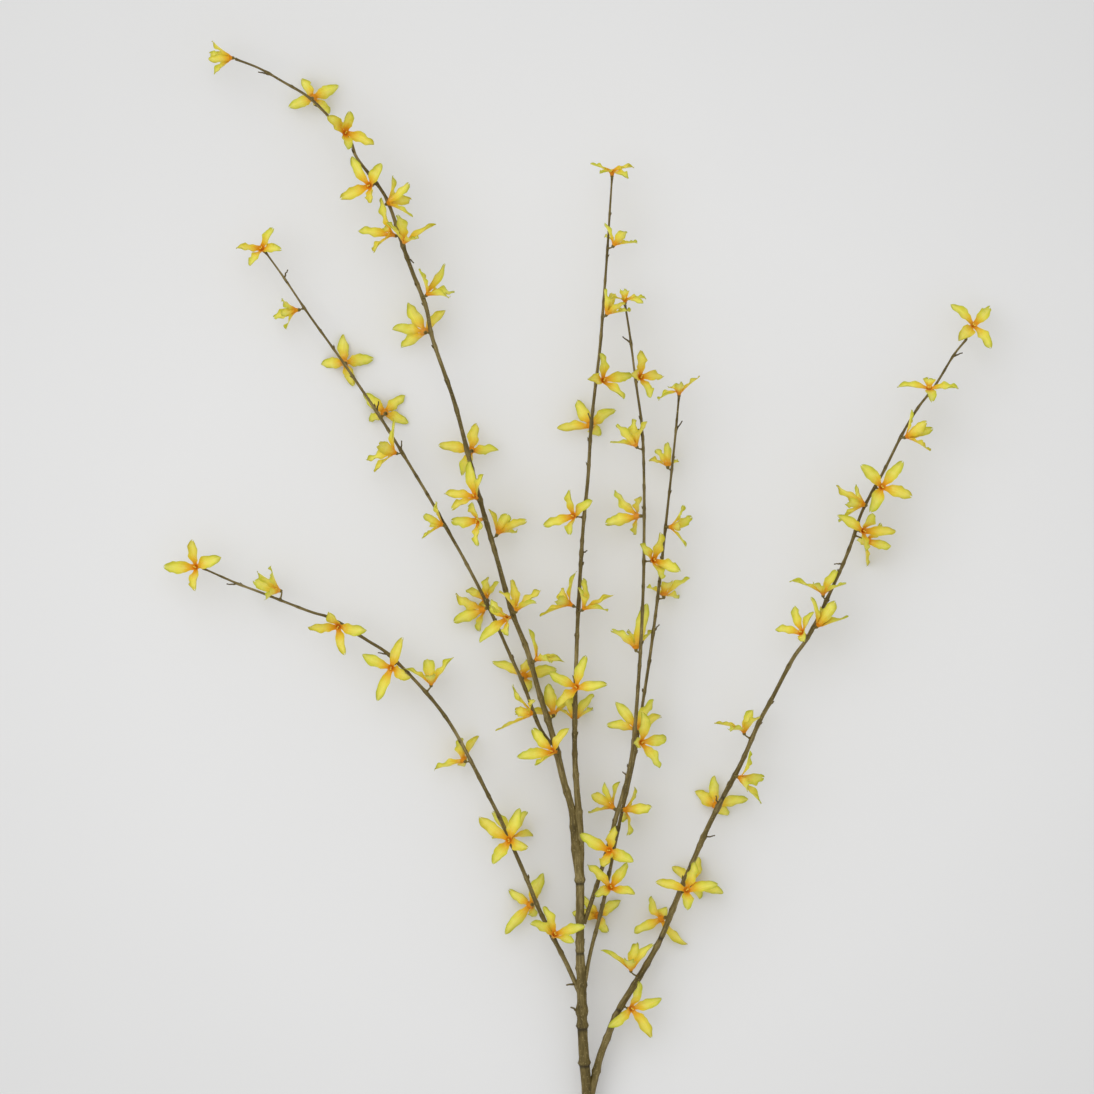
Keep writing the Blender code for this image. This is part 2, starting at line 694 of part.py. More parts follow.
def stub_solid(lines, stem, root_px, tip_px, collection):
    root, radius, _ = nearest(lines[stem], flat(root_px))
    tip = np.array((*flat(tip_px), root[2]))
    run = Vector(tip - root)
    bm = bmesh.new()
    bmesh.ops.create_cone(
        bm,
        cap_ends=True,
        segments=STUB_SIDES,
        radius1=min(STUB_RADIUS, 0.8 * radius),
        radius2=STUB_TIP_RADIUS,
        depth=run.length,
    )
    turn = run.to_track_quat("Z", "Y").to_matrix()
    for vert in bm.verts:
        vert.co = turn @ vert.co + Vector(root) + run / 2
    mesh = bpy.data.meshes.new("stub")
    bm.to_mesh(mesh)
    bm.free()
    return add_object("stub", mesh, collection)


def make_wood(lines, collection):
    solids = [stem_solid(name, line, collection) for name, line in lines.items()]
    stubs = [stub_solid(lines, *stub, collection) for stub in STUBS_PX]
    wood = join_collection("wood", solids[0], solids[1:] + stubs, collection)
    wood.data.materials.clear()
    wood.data.materials.append(material("bark", WOOD_COLOUR, 0.8))
    wood.data.shade_smooth()
    return wood


def stalk_foot(lines, stem, group, blooms, stand_off):
    """Where a group's stalks meet their stem: short, little bent, clear of bark and petals.

    Gives the place and the direction in which the bark faces there.
    """
    line = lines[stem]
    stems = stem_runs(lines)
    targets = [bloom["throat"] - bloom["axis"] * (bloom["tube"] + STALK_LEAN) for bloom in group]
    middle = np.mean(targets, axis=0)
    near = neighbours(blooms, middle)
    petals = np.concatenate([sheet for other in near for sheet in other["samples"]])
    root, _, along = nearest(line, middle[:2])
    best_cost, best_place, best_outward = math.inf, None, None
    for slide in SLIDES:
        point, radius, run = nearest(line, (root + along * slide * MM)[:2])
        first, second = side_axes(run)
        for turn in range(SIDES_TRIED):
            angle = 2 * math.pi * turn / SIDES_TRIED
            outward = first * math.cos(angle) + second * math.sin(angle)
            place = point + outward * (radius + SEAT_GAP + stand_off)
            cost = sum(stalk_cost(bloom, place, petals, stems) for bloom in group)
            if cost < best_cost:
                best_cost, best_place, best_outward = cost, place, outward
    return best_place, best_outward


def settled(bloom, place, outward):
    """A stalk's end moved in until its edge, and not its middle, faces the bark across the seat gap."""
    arrival = unit(place - (bloom["throat"] - bloom["axis"] * bloom["tube"]))
    slant = math.sqrt(max(0.0, 1 - (arrival @ outward) ** 2))
    return place - outward * STALK_RADIUS * (1 - slant)


def stalk_cost(bloom, place, petals, stems):
    base = bloom["throat"] - bloom["axis"] * bloom["tube"]
    run = place - base
    bend = math.degrees(math.acos(np.clip(unit(run) @ -bloom["axis"], -1, 1)))
    points = base + run * STALK_SHARES[:, None]
    cost = np.linalg.norm(run) / MM + max(0.0, bend - EASY_BEND)
    cost += PETAL_TOUCH_COST * shortfall(points, petals, STALK_GAP)
    cost += BARK_TOUCH_COST * stem_shortfall(points, *stems)
    return cost


def bloom_mesh(bloom, end):
    """A bloom with its tube and stalk as one closed skin, the stalk ending at a given point."""
    axis, throat = bloom["axis"], bloom["throat"]
    order = sorted(range(PETALS), key=lambda k: roll(bloom, bloom["tips"][k]))
    rolls = [roll(bloom, bloom["tips"][k]) for k in order]
    first, second = side_axes(axis)

    def spoke(angle):
        return first * math.cos(angle) + second * math.sin(angle)

    angles = []
    for angle, following in zip(rolls, rolls[1:] + [rolls[0] + 2 * math.pi]):
        angles += [angle, (angle + following) / 2]
    bm = bmesh.new()

    def vert(place):
        return bm.verts.new(Vector(place))

    def strip(low, high):
        for j in range(len(low) - 1):
            bm.faces.new((low[j], low[j + 1], high[j + 1]))
            bm.faces.new((low[j], high[j + 1], high[j]))

    inner = [vert(throat + spoke(angle) * THROAT_RADIUS) for angle in angles]
    outer = [vert(throat + spoke(angle) * RIM_RADIUS - axis * RIM_DROP) for angle in angles]
    for k, petal in enumerate(order):
        tip, twist, lowest = bloom["tips"][petal], bloom["twists"][petal], lowest_of(bloom, petal)
        grid, inward = petal_sheet(bloom, tip, twist, (ROW_NEAR, ROW_FAR, 1.0), (-1, 0, 1), lowest)
        faces = []
        for ring, back in ((inner, 0.0), (outer, PETAL_THICKNESS)):
            rows = [[ring[2 * k - 1], ring[2 * k], ring[2 * k + 1]]]
            rows += [[vert(grid[r, c] - inward[r, 0] * back) for c in range(3)] for r in range(2)]
            tip = vert(grid[2, 1] - inward[2, 0] * back)
            strip(rows[0], rows[1])
            strip(rows[1], rows[2])
            bm.faces.new((rows[2][0], rows[2][1], tip))
            bm.faces.new((rows[2][1], rows[2][2], tip))
            faces.append((rows, tip))
        for side in (0, 2):
            chains = [[row[side] for row in rows] + [tip] for rows, tip in faces]
            strip(chains[0], chains[1])
    bottom = vert(throat - axis * (bloom["tube"] - TUBE_FLOOR))
    base = throat - axis * bloom["tube"]
    turn = Vector(-axis).rotation_difference(Vector(end - base))
    calyx = [vert(base + spoke(angle) * CALYX_RADIUS) for angle in rolls]
    foot = [vert(Vector(end) + turn @ Vector(spoke(angle) * STALK_RADIUS)) for angle in rolls]
    for i in range(2 * PETALS):
        bm.faces.new((inner[i - 1], inner[i], bottom))
    for k in range(PETALS):
        after = (k + 1) % PETALS
        bm.faces.new((outer[2 * k], outer[2 * k + 1], calyx[k]))
        bm.faces.new((outer[2 * k + 1], calyx[after], calyx[k]))
        bm.faces.new((outer[2 * k + 1], outer[2 * after], calyx[after]))
        bm.faces.new((calyx[k], calyx[after], foot[after]))
        bm.faces.new((calyx[k], foot[after], foot[k]))
    bm.faces.new((foot[0], foot[1], foot[2]))
    bm.faces.new((foot[0], foot[2], foot[3]))
    bmesh.ops.recalc_face_normals(bm, faces=bm.faces)
    mesh = bpy.data.meshes.new("bloom")
    bm.to_mesh(mesh)
    bm.free()
    return mesh


def bud_mesh(place):
    bm = bmesh.new()
    bmesh.ops.create_uvsphere(bm, u_segments=6, v_segments=4, radius=BUD_RADIUS)
    bmesh.ops.translate(bm, verts=bm.verts, vec=Vector(place))
    mesh = bpy.data.meshes.new("bud")
    bm.to_mesh(mesh)
    bm.free()
    return mesh


def make_blooms(blooms, lines, collection):
    for stem, nodes in BLOOMS_PX.items():
        for number in range(len(nodes)):
            group = [bloom for bloom in blooms if bloom["key"][:2] == (stem, number)]
            name = f"bloom_{stem}_{number + 1}"
            if len(group) == 1:
                bloom = group[0]
                end = settled(bloom, *stalk_foot(lines, stem, group, blooms, STALK_RADIUS))
                made = add_object(name, bloom_mesh(bloom, end), collection)
            else:
                bud, _ = stalk_foot(lines, stem, group, blooms, BUD_RADIUS)
                pieces = []
                for bloom in group:
                    base = bloom["throat"] - bloom["axis"] * bloom["tube"]
                    end = bud + unit(base - bud) * STALK_SINK
                    pieces.append(add_object("piece", bloom_mesh(bloom, end), collection))
                knob = add_object("bud", bud_mesh(bud), collection)
                made = join_by_union(name, knob, pieces, collection)
            made.data.materials.clear()
            made.data.materials.append(material(name + " petals", PETAL_COLOUR, 0.6))


def main():
    for old in list(bpy.data.objects):
        bpy.data.objects.remove(old)
    collection = bpy.data.collections.new("forsythia branch")
    bpy.context.scene.collection.children.link(collection)
    lines = stem_lines()
    blooms = seat_blooms(lines)
    bend_clear(blooms, lines)
    make_wood(lines, collection)
    make_blooms(blooms, lines, collection)


main()
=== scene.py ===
"""The looks of a cut forsythia branch in flower, lying on a pale surface.

Metres, +Z up, in the frame of the solid model: X runs across the branch, Y from
its cut end to its tips. Routes and blooms are read from the photograph, 1094
pixels square, in pixels. Each bloom object and the wood stand for one solid.
"""

import math
import random
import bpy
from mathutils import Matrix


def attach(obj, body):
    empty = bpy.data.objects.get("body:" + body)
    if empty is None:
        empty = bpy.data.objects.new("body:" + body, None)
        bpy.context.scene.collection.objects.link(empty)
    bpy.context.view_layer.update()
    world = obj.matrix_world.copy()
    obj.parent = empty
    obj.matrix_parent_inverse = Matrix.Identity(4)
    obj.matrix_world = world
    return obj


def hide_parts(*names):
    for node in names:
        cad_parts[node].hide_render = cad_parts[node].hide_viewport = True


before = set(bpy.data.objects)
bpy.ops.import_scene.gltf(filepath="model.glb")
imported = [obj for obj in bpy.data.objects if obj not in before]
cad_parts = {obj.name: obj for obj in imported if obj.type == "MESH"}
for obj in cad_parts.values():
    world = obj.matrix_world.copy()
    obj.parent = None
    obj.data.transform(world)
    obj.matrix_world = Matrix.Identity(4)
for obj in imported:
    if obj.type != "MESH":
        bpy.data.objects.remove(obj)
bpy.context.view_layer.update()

import zlib

import bpy
import numpy as np

MM = 0.001
PIXEL = 0.8 * MM  # real size of one photograph pixel
MIDDLE_PX = (577.4, 621.14)  # the pixel over the origin

PETALS = 4
PETAL_LENGTH = 25.0 * MM  # from the throat's middle to the tip
SMALLEST_PETAL = 19.0 * MM
HALF_WIDTHS = ((0.0, 1.5 * MM), (0.45, 3.5 * MM), (0.75, 4.0 * MM), (0.92, 2.7 * MM), (1.0, 0.5 * MM))
BEND_SHARE = 0.45  # share of its length at which a petal bends
PETAL_FLARE = 0.12  # how far a petal leaves the throat along the axis
PETAL_CHANNEL = 0.22  # rise of the edges over the midrib
MOST_TWIST = 0.55  # radians at the tip
OPENING = math.radians(62)  # usual angle between a petal and the bloom's axis
TIE = math.radians(6)  # openings this close count as equal

THROAT_RADIUS = 1.9 * MM
TUBE_LENGTH = 6.5 * MM
SHORTEST_TUBE = 3.4 * MM
STALK_RADIUS = 0.9 * MM
REACH = 7.8 * MM  # least distance from a stem's bark to a throat
SHARED_REACH = 10.0 * MM  # the same where several blooms share a bud

FLOOR_CLEARANCE = 2.6 * MM  # lowest inner face of a petal that doesn't carry weight
LENGTH_OVER_SHOWN = 1.08  # a petal's length over its longest span in the photograph

# Bending petals clear: places tested on a petal, the gaps wanted, and the moves tried.
TEST_SHARES = np.linspace(0.28, 1.0, 10)
TEST_ACROSS = np.linspace(-1, 1, 5)
ROWS_AT_THROAT = 3  # tested rows that may lie close to the same bloom's other petals
TUBE_POINTS = 4  # that stand for a bloom's tube
PETAL_GAP = 3.0 * MM
STEM_GAP = 1.3 * MM
TUBE_GAP = 4.6 * MM
NEIGHBOURHOOD = 60 * MM  # blooms with throats further apart than this can't touch
PETAL_ROOM = 22 * MM  # half the box round a petal in which other points are tested
LEAST_ROLL = 52  # degrees round the axis between neighbouring petals
OPENINGS = (22, 98)  # least and most angle between a petal and the axis, degrees
LENGTHS = (15, 28)  # least and most distance from throat to tip, millimetres
DEPTH_STEPS = (0, 3, -3, 6, -6, 9, -9, 12, -12, 16, -16, 21, -21, 27, -27, 34, -34)  # millimetres
PLAN_TURNS = (0, 12, -12, 24, -24)  # degrees round the throat
BENDS = [(turn, step) for turn in PLAN_TURNS for step in DEPTH_STEPS]
ROUNDS = 3  # over all the blooms
CLEAR_COST = 0.8  # costs are in millimetres of missing gap
DEPTH_COST = 0.02  # a millimetre of depth
TURN_COST = 0.08  # a degree in plan
STEM_COST = 3
LENGTH_COST = 3  # a millimetre outside the range
OPENING_COST = 0.4  # a degree outside the range
ROLL_COST = 0.25  # a degree too close

# Each stem from its tip to its foot: route in pixels; heights in millimetres
# and widths in pixels, both spread evenly along the route.
STEMS_PX = {
    "trunk": {
        "joins": None,
        "route": [
            (576, 808), (576, 828), (578, 853), (580, 884), (580, 926), (580, 951), (581, 977),
            (582, 1000), (582, 1015), (583, 1040), (585, 1070), (588, 1100), (590, 1140), (592, 1200),
        ],
        "heights": (30, 29, 26, 20, 12, 4.47),
        "widths": (12, 9, 8, 10, 10, 13, 13),
    },
    "right": {
        "joins": "trunk",
        "route": [
            (966, 340), (954, 355), (935, 386), (918, 408), (902, 435), (884, 471), (863, 510),
            (852, 542), (838, 576), (810, 634), (793, 659), (772, 699), (759, 723), (742, 762),
            (723, 798), (706, 832), (691, 867), (676, 902), (661, 939), (641, 975), (619, 1011),
            (606, 1042), (599, 1062), (590, 1100),
        ],
        "heights": (30, 30, 29, 28, 27, 22),
        "widths": (2.2, 2.8, 3.4, 4.4, 5, 6, 8),
    },
    "tall_left": {
        "joins": "trunk",
        "route": [
            (236, 59), (259, 68), (282, 81), (311, 99), (340, 129), (351, 142), (357, 158),
            (380, 188), (390, 207), (403, 246), (412, 271), (426, 307), (433, 340), (454, 401),
            (468, 454), (480, 500), (497, 559), (512, 612), (527, 650), (539, 692), (553, 737),
            (564, 782), (575, 812),
        ],
        "heights": (30, 33, 34, 35, 34, 32),
        "widths": (2.2, 2.8, 4, 4.2, 4.6, 5.2, 7.5),
    },
    "middle": {
        "joins": "trunk",
        "route": [
            (612, 178), (610, 209), (607, 256), (603, 310), (600, 348), (595, 390), (591, 429),
            (588, 478), (583, 530), (579, 597), (577, 640), (575, 714), (575, 760), (577, 812),
        ],
        "heights": (30, 30, 29, 28, 29),
        "widths": (1.9, 3, 3.5, 4, 6),
    },
    "low_left": {
        "joins": "trunk",
        "route": [
            (204, 569), (238, 584), (259, 592), (308, 611), (332, 619), (368, 641), (389, 655),
            (420, 686), (441, 711), (455, 732), (467, 754), (487, 793), (501, 821), (524, 873),
            (541, 914), (566, 963), (580, 995),
        ],
        "heights": (25, 26, 28, 28, 27),
        "widths": (1.9, 3, 3.5, 4, 5),
    },
    "front": {
        "joins": "trunk",
        "route": [
            (625, 304), (630, 336), (636, 383), (642, 428), (644, 479), (644, 541), (643, 594),
            (639, 672), (631, 760), (615, 821), (601, 872), (584, 924),
        ],
        "heights": (33, 36, 38, 44, 38),
        "widths": (2, 2.8, 3.2, 4, 4.5),
    },
    "inner_right": {
        "joins": "trunk",
        "route": [
            (679, 397), (675, 440), (669, 496), (659, 587), (651, 650), (642, 709), (633, 765),
            (619, 826), (604, 900), (591, 951), (585, 983),
        ],
        "heights": (30, 29, 23, 24),
        "widths": (2, 3, 3.2, 4),
    },
    "left": {
        "joins": "tall_left",
        "route": [
            (266, 253), (284, 278), (309, 315), (342, 361), (378, 414), (401, 451), (430, 499),
            (452, 538), (466, 563), (489, 608), (510, 655), (524, 686), (539, 726), (552, 745),
        ],
        "heights": (22, 21, 23, 25, 27),
        "widths": (1.8, 2.8, 3.2, 3.6),
    },
}

# Blooms of each stem, one list for each node: a bloom alone, or those that
# spring from one bud. A bloom is its throat's pixel, the way it faces, as an
# angle round the picture and a lift towards the viewer in degrees, and the
# pixels of the petal tips that show. The rest of its four petals fill the
# widest spaces between them. A tip's third number forces it up or down.
BLOOMS_PX = {
    "low_left": [
        [(195, 567, 180, 60, (193, 539), (163, 567), (195, 590), (221, 557))],
        [(277, 590, 165, 10, (257, 571), (251, 586), (265, 599))],
        [(338, 627, 225, 70, (330, 612), (308, 627), (345, 655), (367, 630))],
        [(391, 668, 225, 70, (403, 637), (362, 654), (377, 701), (411, 677))],
        [(431, 682, 90, 15, (427, 659), (453, 657), (404, 668))],
        [(463, 760, 140, -40, (434, 770), (473, 734), (461, 738))],
        [
            (509, 840, 200, 70, (479, 816), (520, 808), (527, 847), (493, 863)),
            (511, 836, 90, -45, (492, 812), (527, 811)),
        ],
        [
            (530, 906, 200, -70, (509, 891), (505, 935), (544, 874), (536, 918)),
            (555, 934, 60, 55, (544, 906), (531, 922), (585, 926), (574, 943)),
        ],
    ],
    "left": [
        [(261, 248, 135, 55, (274, 228), (282, 250), (250, 267), (236, 248))],
        [(293, 310, 185, 10, (282, 299), (280, 311), (273, 317))],
        [(344, 362, 135, -75, (343, 333), (373, 358), (320, 364), (353, 386))],
        [
            (384, 412, 135, -75, (405, 395), (408, 423), (369, 421), (363, 393)),
            (393, 452, 160, 20, (380, 445), (367, 461), (396, 420)),
        ],
        [(440, 524, 160, 0, (423, 515), (430, 523))],
        [
            (485, 598, 135, -45, (466, 590), (488, 577), (499, 582)),
            (482, 610, 200, -45, (466, 601), (453, 622), (479, 632)),
        ],
        [
            (524, 676, 60, -60, (495, 656), (526, 661), (557, 670)),
            (530, 713, 170, 0, (512, 685), (537, 701), (496, 732)),
        ],
    ],
    "tall_left": [
        [(229, 58, 180, 5, (212, 42), (209, 53), (209, 60), (214, 74))],
        [(313, 97, 45, -75, (300, 77), (339, 85), (288, 106), (328, 112))],
        [(346, 133, 45, 70, (350, 113), (329, 117), (374, 146), (348, 152))],
        [
            (369, 186, 190, 65, (351, 157), (383, 164), (340, 199), (372, 204)),
            (390, 203, 25, 0, (410, 184), (411, 199)),
        ],
        [
            (390, 234, 160, 30, (358, 231), (373, 252), (382, 198)),
            (405, 241, 70, 20, (436, 224), (397, 215)),
        ],
        [(429, 293, 45, 10, (418, 270), (456, 273), (454, 293))],
        [(424, 331, 135, -65, (408, 302), (394, 342), (401, 348), (445, 310))],
        [(471, 450, 135, -75, (477, 422), (498, 450), (438, 445), (462, 475))],
        [
            (474, 496, 140, 45, (470, 461), (483, 475), (444, 494), (452, 510)),
            (477, 521, 200, 40, (451, 521), (477, 546), (473, 502)),
            (499, 531, 60, -20, (488, 509), (514, 519), (527, 521)),
        ],
        [
            (506, 618, 190, 50, (499, 595), (491, 604), (479, 642), (508, 635)),
            (517, 608, 75, 10, (511, 580), (541, 591)),
        ],
        [(538, 658, 40, 15, (527, 629), (557, 653), (565, 662))],
        [
            (553, 713, 100, -40, (548, 684), (515, 716)),
            (552, 751, 170, 45, (533, 728), (517, 758), (536, 766), (569, 728)),
        ],
    ],
    "middle": [
        [(612, 171, 90, 20, (590, 165), (634, 167), (600, 175), (628, 180))],
        [(615, 243, 60, 0, (626, 231), (605, 236))],
        [(608, 312, 60, 0, (604, 289), (613, 292), (625, 303))],
        [(604, 380, 20, 55, (600, 353), (588, 379), (632, 375), (624, 399))],
        [(590, 425, 135, -65, (577, 400), (615, 409), (557, 429), (600, 436))],
        [(573, 516, 170, 50, (569, 490), (593, 501), (543, 526), (569, 534))],
        [
            (568, 603, 150, 10, (561, 589), (558, 600), (540, 617), (576, 571)),
            (585, 607, 50, 10, (583, 578), (614, 594), (608, 610)),
        ],
        [
            (576, 687, 180, 70, (586, 655), (607, 684), (549, 672), (557, 707)),
            (575, 718, 90, -30, (594, 695), (594, 711), (569, 693), (558, 710)),
        ],
    ],
    "front": [
        [(625, 299, 90, 20, (624, 289), (646, 299), (643, 305), (611, 299))],
        [(641, 377, 20, 55, (639, 350), (663, 376), (651, 397), (631, 374))],
        [(635, 444, 120, 0, (616, 425), (634, 419))],
        [(636, 516, 180, -40, (615, 490), (641, 497), (605, 524), (637, 535))],
        [(654, 560, 20, 55, (661, 533), (680, 571), (661, 580), (639, 544))],
        [(636, 647, 90, -30, (611, 630), (633, 629), (653, 630), (647, 603))],
        [
            (636, 728, 100, -60, (615, 702), (606, 726), (654, 700), (662, 717)),
            (642, 742, 0, 55, (643, 712), (666, 738), (659, 768), (632, 742)),
        ],
        [
            (611, 806, 140, -20, (605, 782), (592, 794), (589, 815), (620, 782)),
            (627, 810, 0, -10, (636, 788), (652, 807), (627, 836), (620, 821)),
        ],
        [(609, 850, 180, 70, (615, 826), (580, 833), (633, 861), (604, 867))],
    ],
    "inner_right": [
        [(679, 391, 90, 20, (700, 377), (669, 392), (660, 404), (679, 385))],
        [(668, 464, 90, -30, (656, 449), (667, 442), (678, 462))],
        [(673, 527, 0, 15, (692, 517), (686, 547))],
        [(664, 594, 90, -30, (691, 579), (679, 600), (648, 587), (664, 580))],
        [
            (611, 887, 60, 65, (627, 863), (635, 895), (595, 895), (587, 865)),
            (598, 917, 200, -65, (621, 902), (609, 934), (584, 898), (572, 914)),
        ],
    ],
    "right": [
        [(974, 325, 45, 55, (951, 304), (991, 307), (958, 341), (991, 349))],
        [(929, 388, 90, 40, (897, 386), (958, 389), (929, 379), (931, 402))],
        [(908, 436, 25, 0, (926, 422), (933, 429))],
        [
            (882, 487, 45, 70, (861, 465), (903, 461), (912, 497), (870, 512)),
            (862, 504, 160, 0, (832, 492), (858, 485)),
        ],
        [
            (864, 531, 0, 60, (840, 510), (872, 513), (896, 531), (864, 551)),
            (868, 541, 330, -50, (891, 547),),
        ],
        [
            (823, 592, 90, 15, (790, 580), (837, 570), (846, 584)),
            (801, 632, 140, 40, (775, 629), (795, 606), (804, 642)),
            (819, 624, 50, 0, (824, 597), (849, 618), (810, 597)),
        ],
        [(744, 730, 95, 10, (714, 723), (759, 716), (729, 731))],
        [
            (741, 778, 340, 10, (764, 778), (761, 804), (749, 750)),
            (716, 806, 135, -65, (715, 776), (696, 793), (749, 800), (730, 817)),
        ],
        [
            (687, 890, 60, 65, (695, 861), (655, 882), (718, 884), (686, 910)),
            (692, 884, 45, -60, (673, 868), (724, 894), (700, 900), (699, 857)),
            (661, 920, 200, -45, (651, 897), (668, 909), (696, 933)),
        ],
        [
            (631, 968, 90, 25, (601, 950), (637, 944), (653, 944), (628, 959)),
            (632, 1009, 0, 60, (639, 981), (662, 999), (652, 1038), (608, 1027)),
        ],
    ],
}

# Petals that bear on the surface: stem, node, bloom and petal in the table.
RESTING_PETALS = {("left", 2, 0, 2), ("right", 4, 1, 1)}

# Bud stubs and dead twiglets: stem, root pixel and tip pixel.
STUBS_PX = [
    ("tall_left", (269, 71), (259, 72)),
    ("tall_left", (408, 257), (413, 262)),
    ("left", (284, 278), (287, 270)),
    ("left", (378, 411), (378, 402)),
    ("left", (401, 451), (401, 441)),
    ("low_left", (238, 584), (227, 585)),
    ("low_left", (388, 655), (379, 653)),
    ("middle", (591, 423), (588, 413)),
    ("middle", (582, 553), (587, 551)),
    ("front", (631, 343), (623, 337)),
    ("front", (642, 438), (639, 430)),
    ("front", (628, 776), (623, 772)),
    ("inner_right", (677, 430), (682, 422)),
    ("inner_right", (654, 632), (659, 625)),
    ("right", (954, 357), (962, 353)),
    ("right", (841, 563), (835, 564)),
    ("right", (718, 806), (716, 796)),
    ("right", (705, 838), (714, 836)),
    ("trunk", (580, 985), (567, 985)),
    ("trunk", (581, 1013), (571, 1008)),
]

# Petals as they look, in shares of their length t and half width s.
FINE_HALF_WIDTHS = (
    (0.0, 2.3 * MM), (0.1, 3.2 * MM), (0.22, 4.1 * MM), (0.38, 4.6 * MM), (0.54, 4.5 * MM),
    (0.68, 4.0 * MM), (0.8, 3.3 * MM), (0.9, 2.4 * MM), (0.97, 1.3 * MM), (1.0, 0.3 * MM),
)
PETAL_ROWS, PETAL_COLUMNS = 19, 9
ROW_SPACING = 0.9  # the power of t that sets the rows closer towards the tip
PETAL_SKIN = 0.4 * MM  # thickness at the midrib
TIP_THINNING = 6  # the skin thins out over the last sixth
CUP_RADIUS = 2.9 * MM  # the ring from which the petals spread
BASE_BLEND = 0.24  # share of a petal over which it grows out of that ring
RUFFLE, RUFFLE_WAVES = (0.6 * MM, 1.6 * MM), (1.2, 2.6)
RUFFLE_GROWTH = 2.5  # a ruffle grows from the base and is full where this times t reaches 1
WIDTH_CHANGE = (0.88, 1.14)
EDGE_CHANGE, EDGE_GROWTH = 0.14, 3  # the edge's change grows the same way
CURL = 1.0 * MM  # most bend of a tip inwards or outwards
NOTCH, NOTCH_WIDTH = (0.0, 0.1), 0.35
MIDRIB, MIDRIB_WIDTH = 0.25 * MM, 0.16
FOLD = 0.42  # rise of the edges over the midrib, as a share of the half width

# The throat and the parts behind it; rings are a share of the length and a radius in millimetres.
RING_SIDES = 24
RING_ANGLES = np.linspace(0, 2 * math.pi, RING_SIDES, endpoint=False)
FUNNEL_RINGS = ((0.0, 2.9), (0.08, 2.5), (0.2, 1.8), (0.32, 1.1), (0.38, 0.1))
TUBE_RINGS = ((0.0, 3.0), (0.2, 2.5), (0.45, 1.8), (0.75, 1.4), (1.0, 1.25))
TUBE_WALL = 0.1 * MM
CALYX_HEIGHT = 2.6 * MM
CALYX_RINGS = ((-0.35, 0.95), (-0.1, 1.35), (0.3, 1.45), (0.65, 1.5), (1.0, 1.55))
CALYX_CUP = 0.3  # share of the calyx's height above which it parts into lobes
STALK_RINGS, STALK_SIDES = 9, 10
STALK_RADII = (0.85 * MM, 0.6 * MM, 0.75 * MM)
STALK_LEAN = 1.5 * MM  # how far behind a bloom's tube its root is looked for
STALK_OVERLAP = 0.5 * MM  # how far a stalk starts inside the tube
STALK_BEND = 0.25
ROOT_SINK = 0.4 * MM
SCALE_RADII = (1.2 * MM, 1.3 * MM, 1.7 * MM)  # of the bud scales at a stalk's root
ANTHER = (0.6 * MM, 0.6 * MM, 1.1 * MM)
ANTHER_OUT, ANTHER_UP, ANTHER_LEAN = 0.7 * MM, 0.6 * MM, 0.25
FILAMENT_RADIUS, FILAMENT_OUT = 0.22 * MM, 0.2 * MM
FILAMENT_DEPTH = 0.6  # share of the tube's length
FILAMENT_POINTS, FILAMENT_SIDES = 4, 6
BALL_ROWS, BALL_SIDES = 7, 10

# Wood.
WOOD_SEED = 7
RING_STEP = 2.4 * MM  # along a stem
STEM_SIDES = 14
SWELLING, SWELLING_LENGTH = 0.38, 2.4 * MM  # at a node
KNOB_SWELLING = 0.6 * SWELLING
WANDER = 0.05  # share of the radius
WAVE, WAVE_RINGS = 0.1, 4  # slow change of the radius, and the rings from one to the next
GRAIN_SHIFT = 1.7  # sets each stem's grain apart from the last one's
TRUNK_GROWTH, TRUNK_START = 50 * MM, 0.35
# Two stems run on side by side inside the head of the trunk.
LONG_FEET_PX = {
    "tall_left": ((571.5, 808), (573.7, 830), (575, 853), (577.5, 880)),
    "middle": ((578.3, 808), (580.2, 830), (581.2, 853), (581.5, 880)),
}
LONG_FOOT_WIDTHS = (7.0, 7.0, 6.4, 4.0)
RINGS_PX = {"trunk": (885, 954, 1031, 1067, 1150), "right": (1012, 939, 867, 798)}  # heights of ring scars
RING_GROOVE, RING_LENGTH = 0.1, 0.9 * MM
COLLAR, COLLAR_LENGTH, COLLAR_AWAY = 0.1, 2 * MM, 2.2 * MM
STUB_RADII, STUB_TAPER = (0.85 * MM, 1.35 * MM), 0.5  # on a stem and on the trunk
STUB_RISE, STUB_CROOK, STUB_POINTS = 1.5 * MM, 0.25 * MM, 6
STUB_BUD = (0.55 * MM, 0.5 * MM, 0.8 * MM)
KNOB_SPACING = (15 * MM, 34 * MM)
KNOB_RADII, KNOB_LENGTH = (0.6 * MM, 1.15 * MM), (1.8 * MM, 3.2 * MM)
KNOB_POINTS = (-0.4, 0.0, 0.35, 0.75, 1.0)  # shares of a knob's length
KNOB_SHAPE = (0.7, 1.0, 0.85, 0.4, 0.1)  # shares of its radius at those
KNOB_LEAN, KNOB_SEAT = 0.55, 0.9
KNOB_FULL = 1.2 * MM  # radius of the thinnest stem with full-sized knobs
BUD_SIDES = 8

# Marks: how far along a petal a part's colour is taken from, and how dark bark or a stalk is.
TUBE_MARK, FILAMENT_MARK, ANTHER_MARK = -0.12, -0.05, 0.3
CALYX_DARK, STALK_DARK, SCALE_DARK = 0.3, 0.25, 0.6
KNOB_DARK, STUB_DARK, STUB_BUD_DARK = 0.35, 0.45, 0.5
PETAL_SLOT, GREEN_SLOT, BARK_SLOT = 0, 1, 0

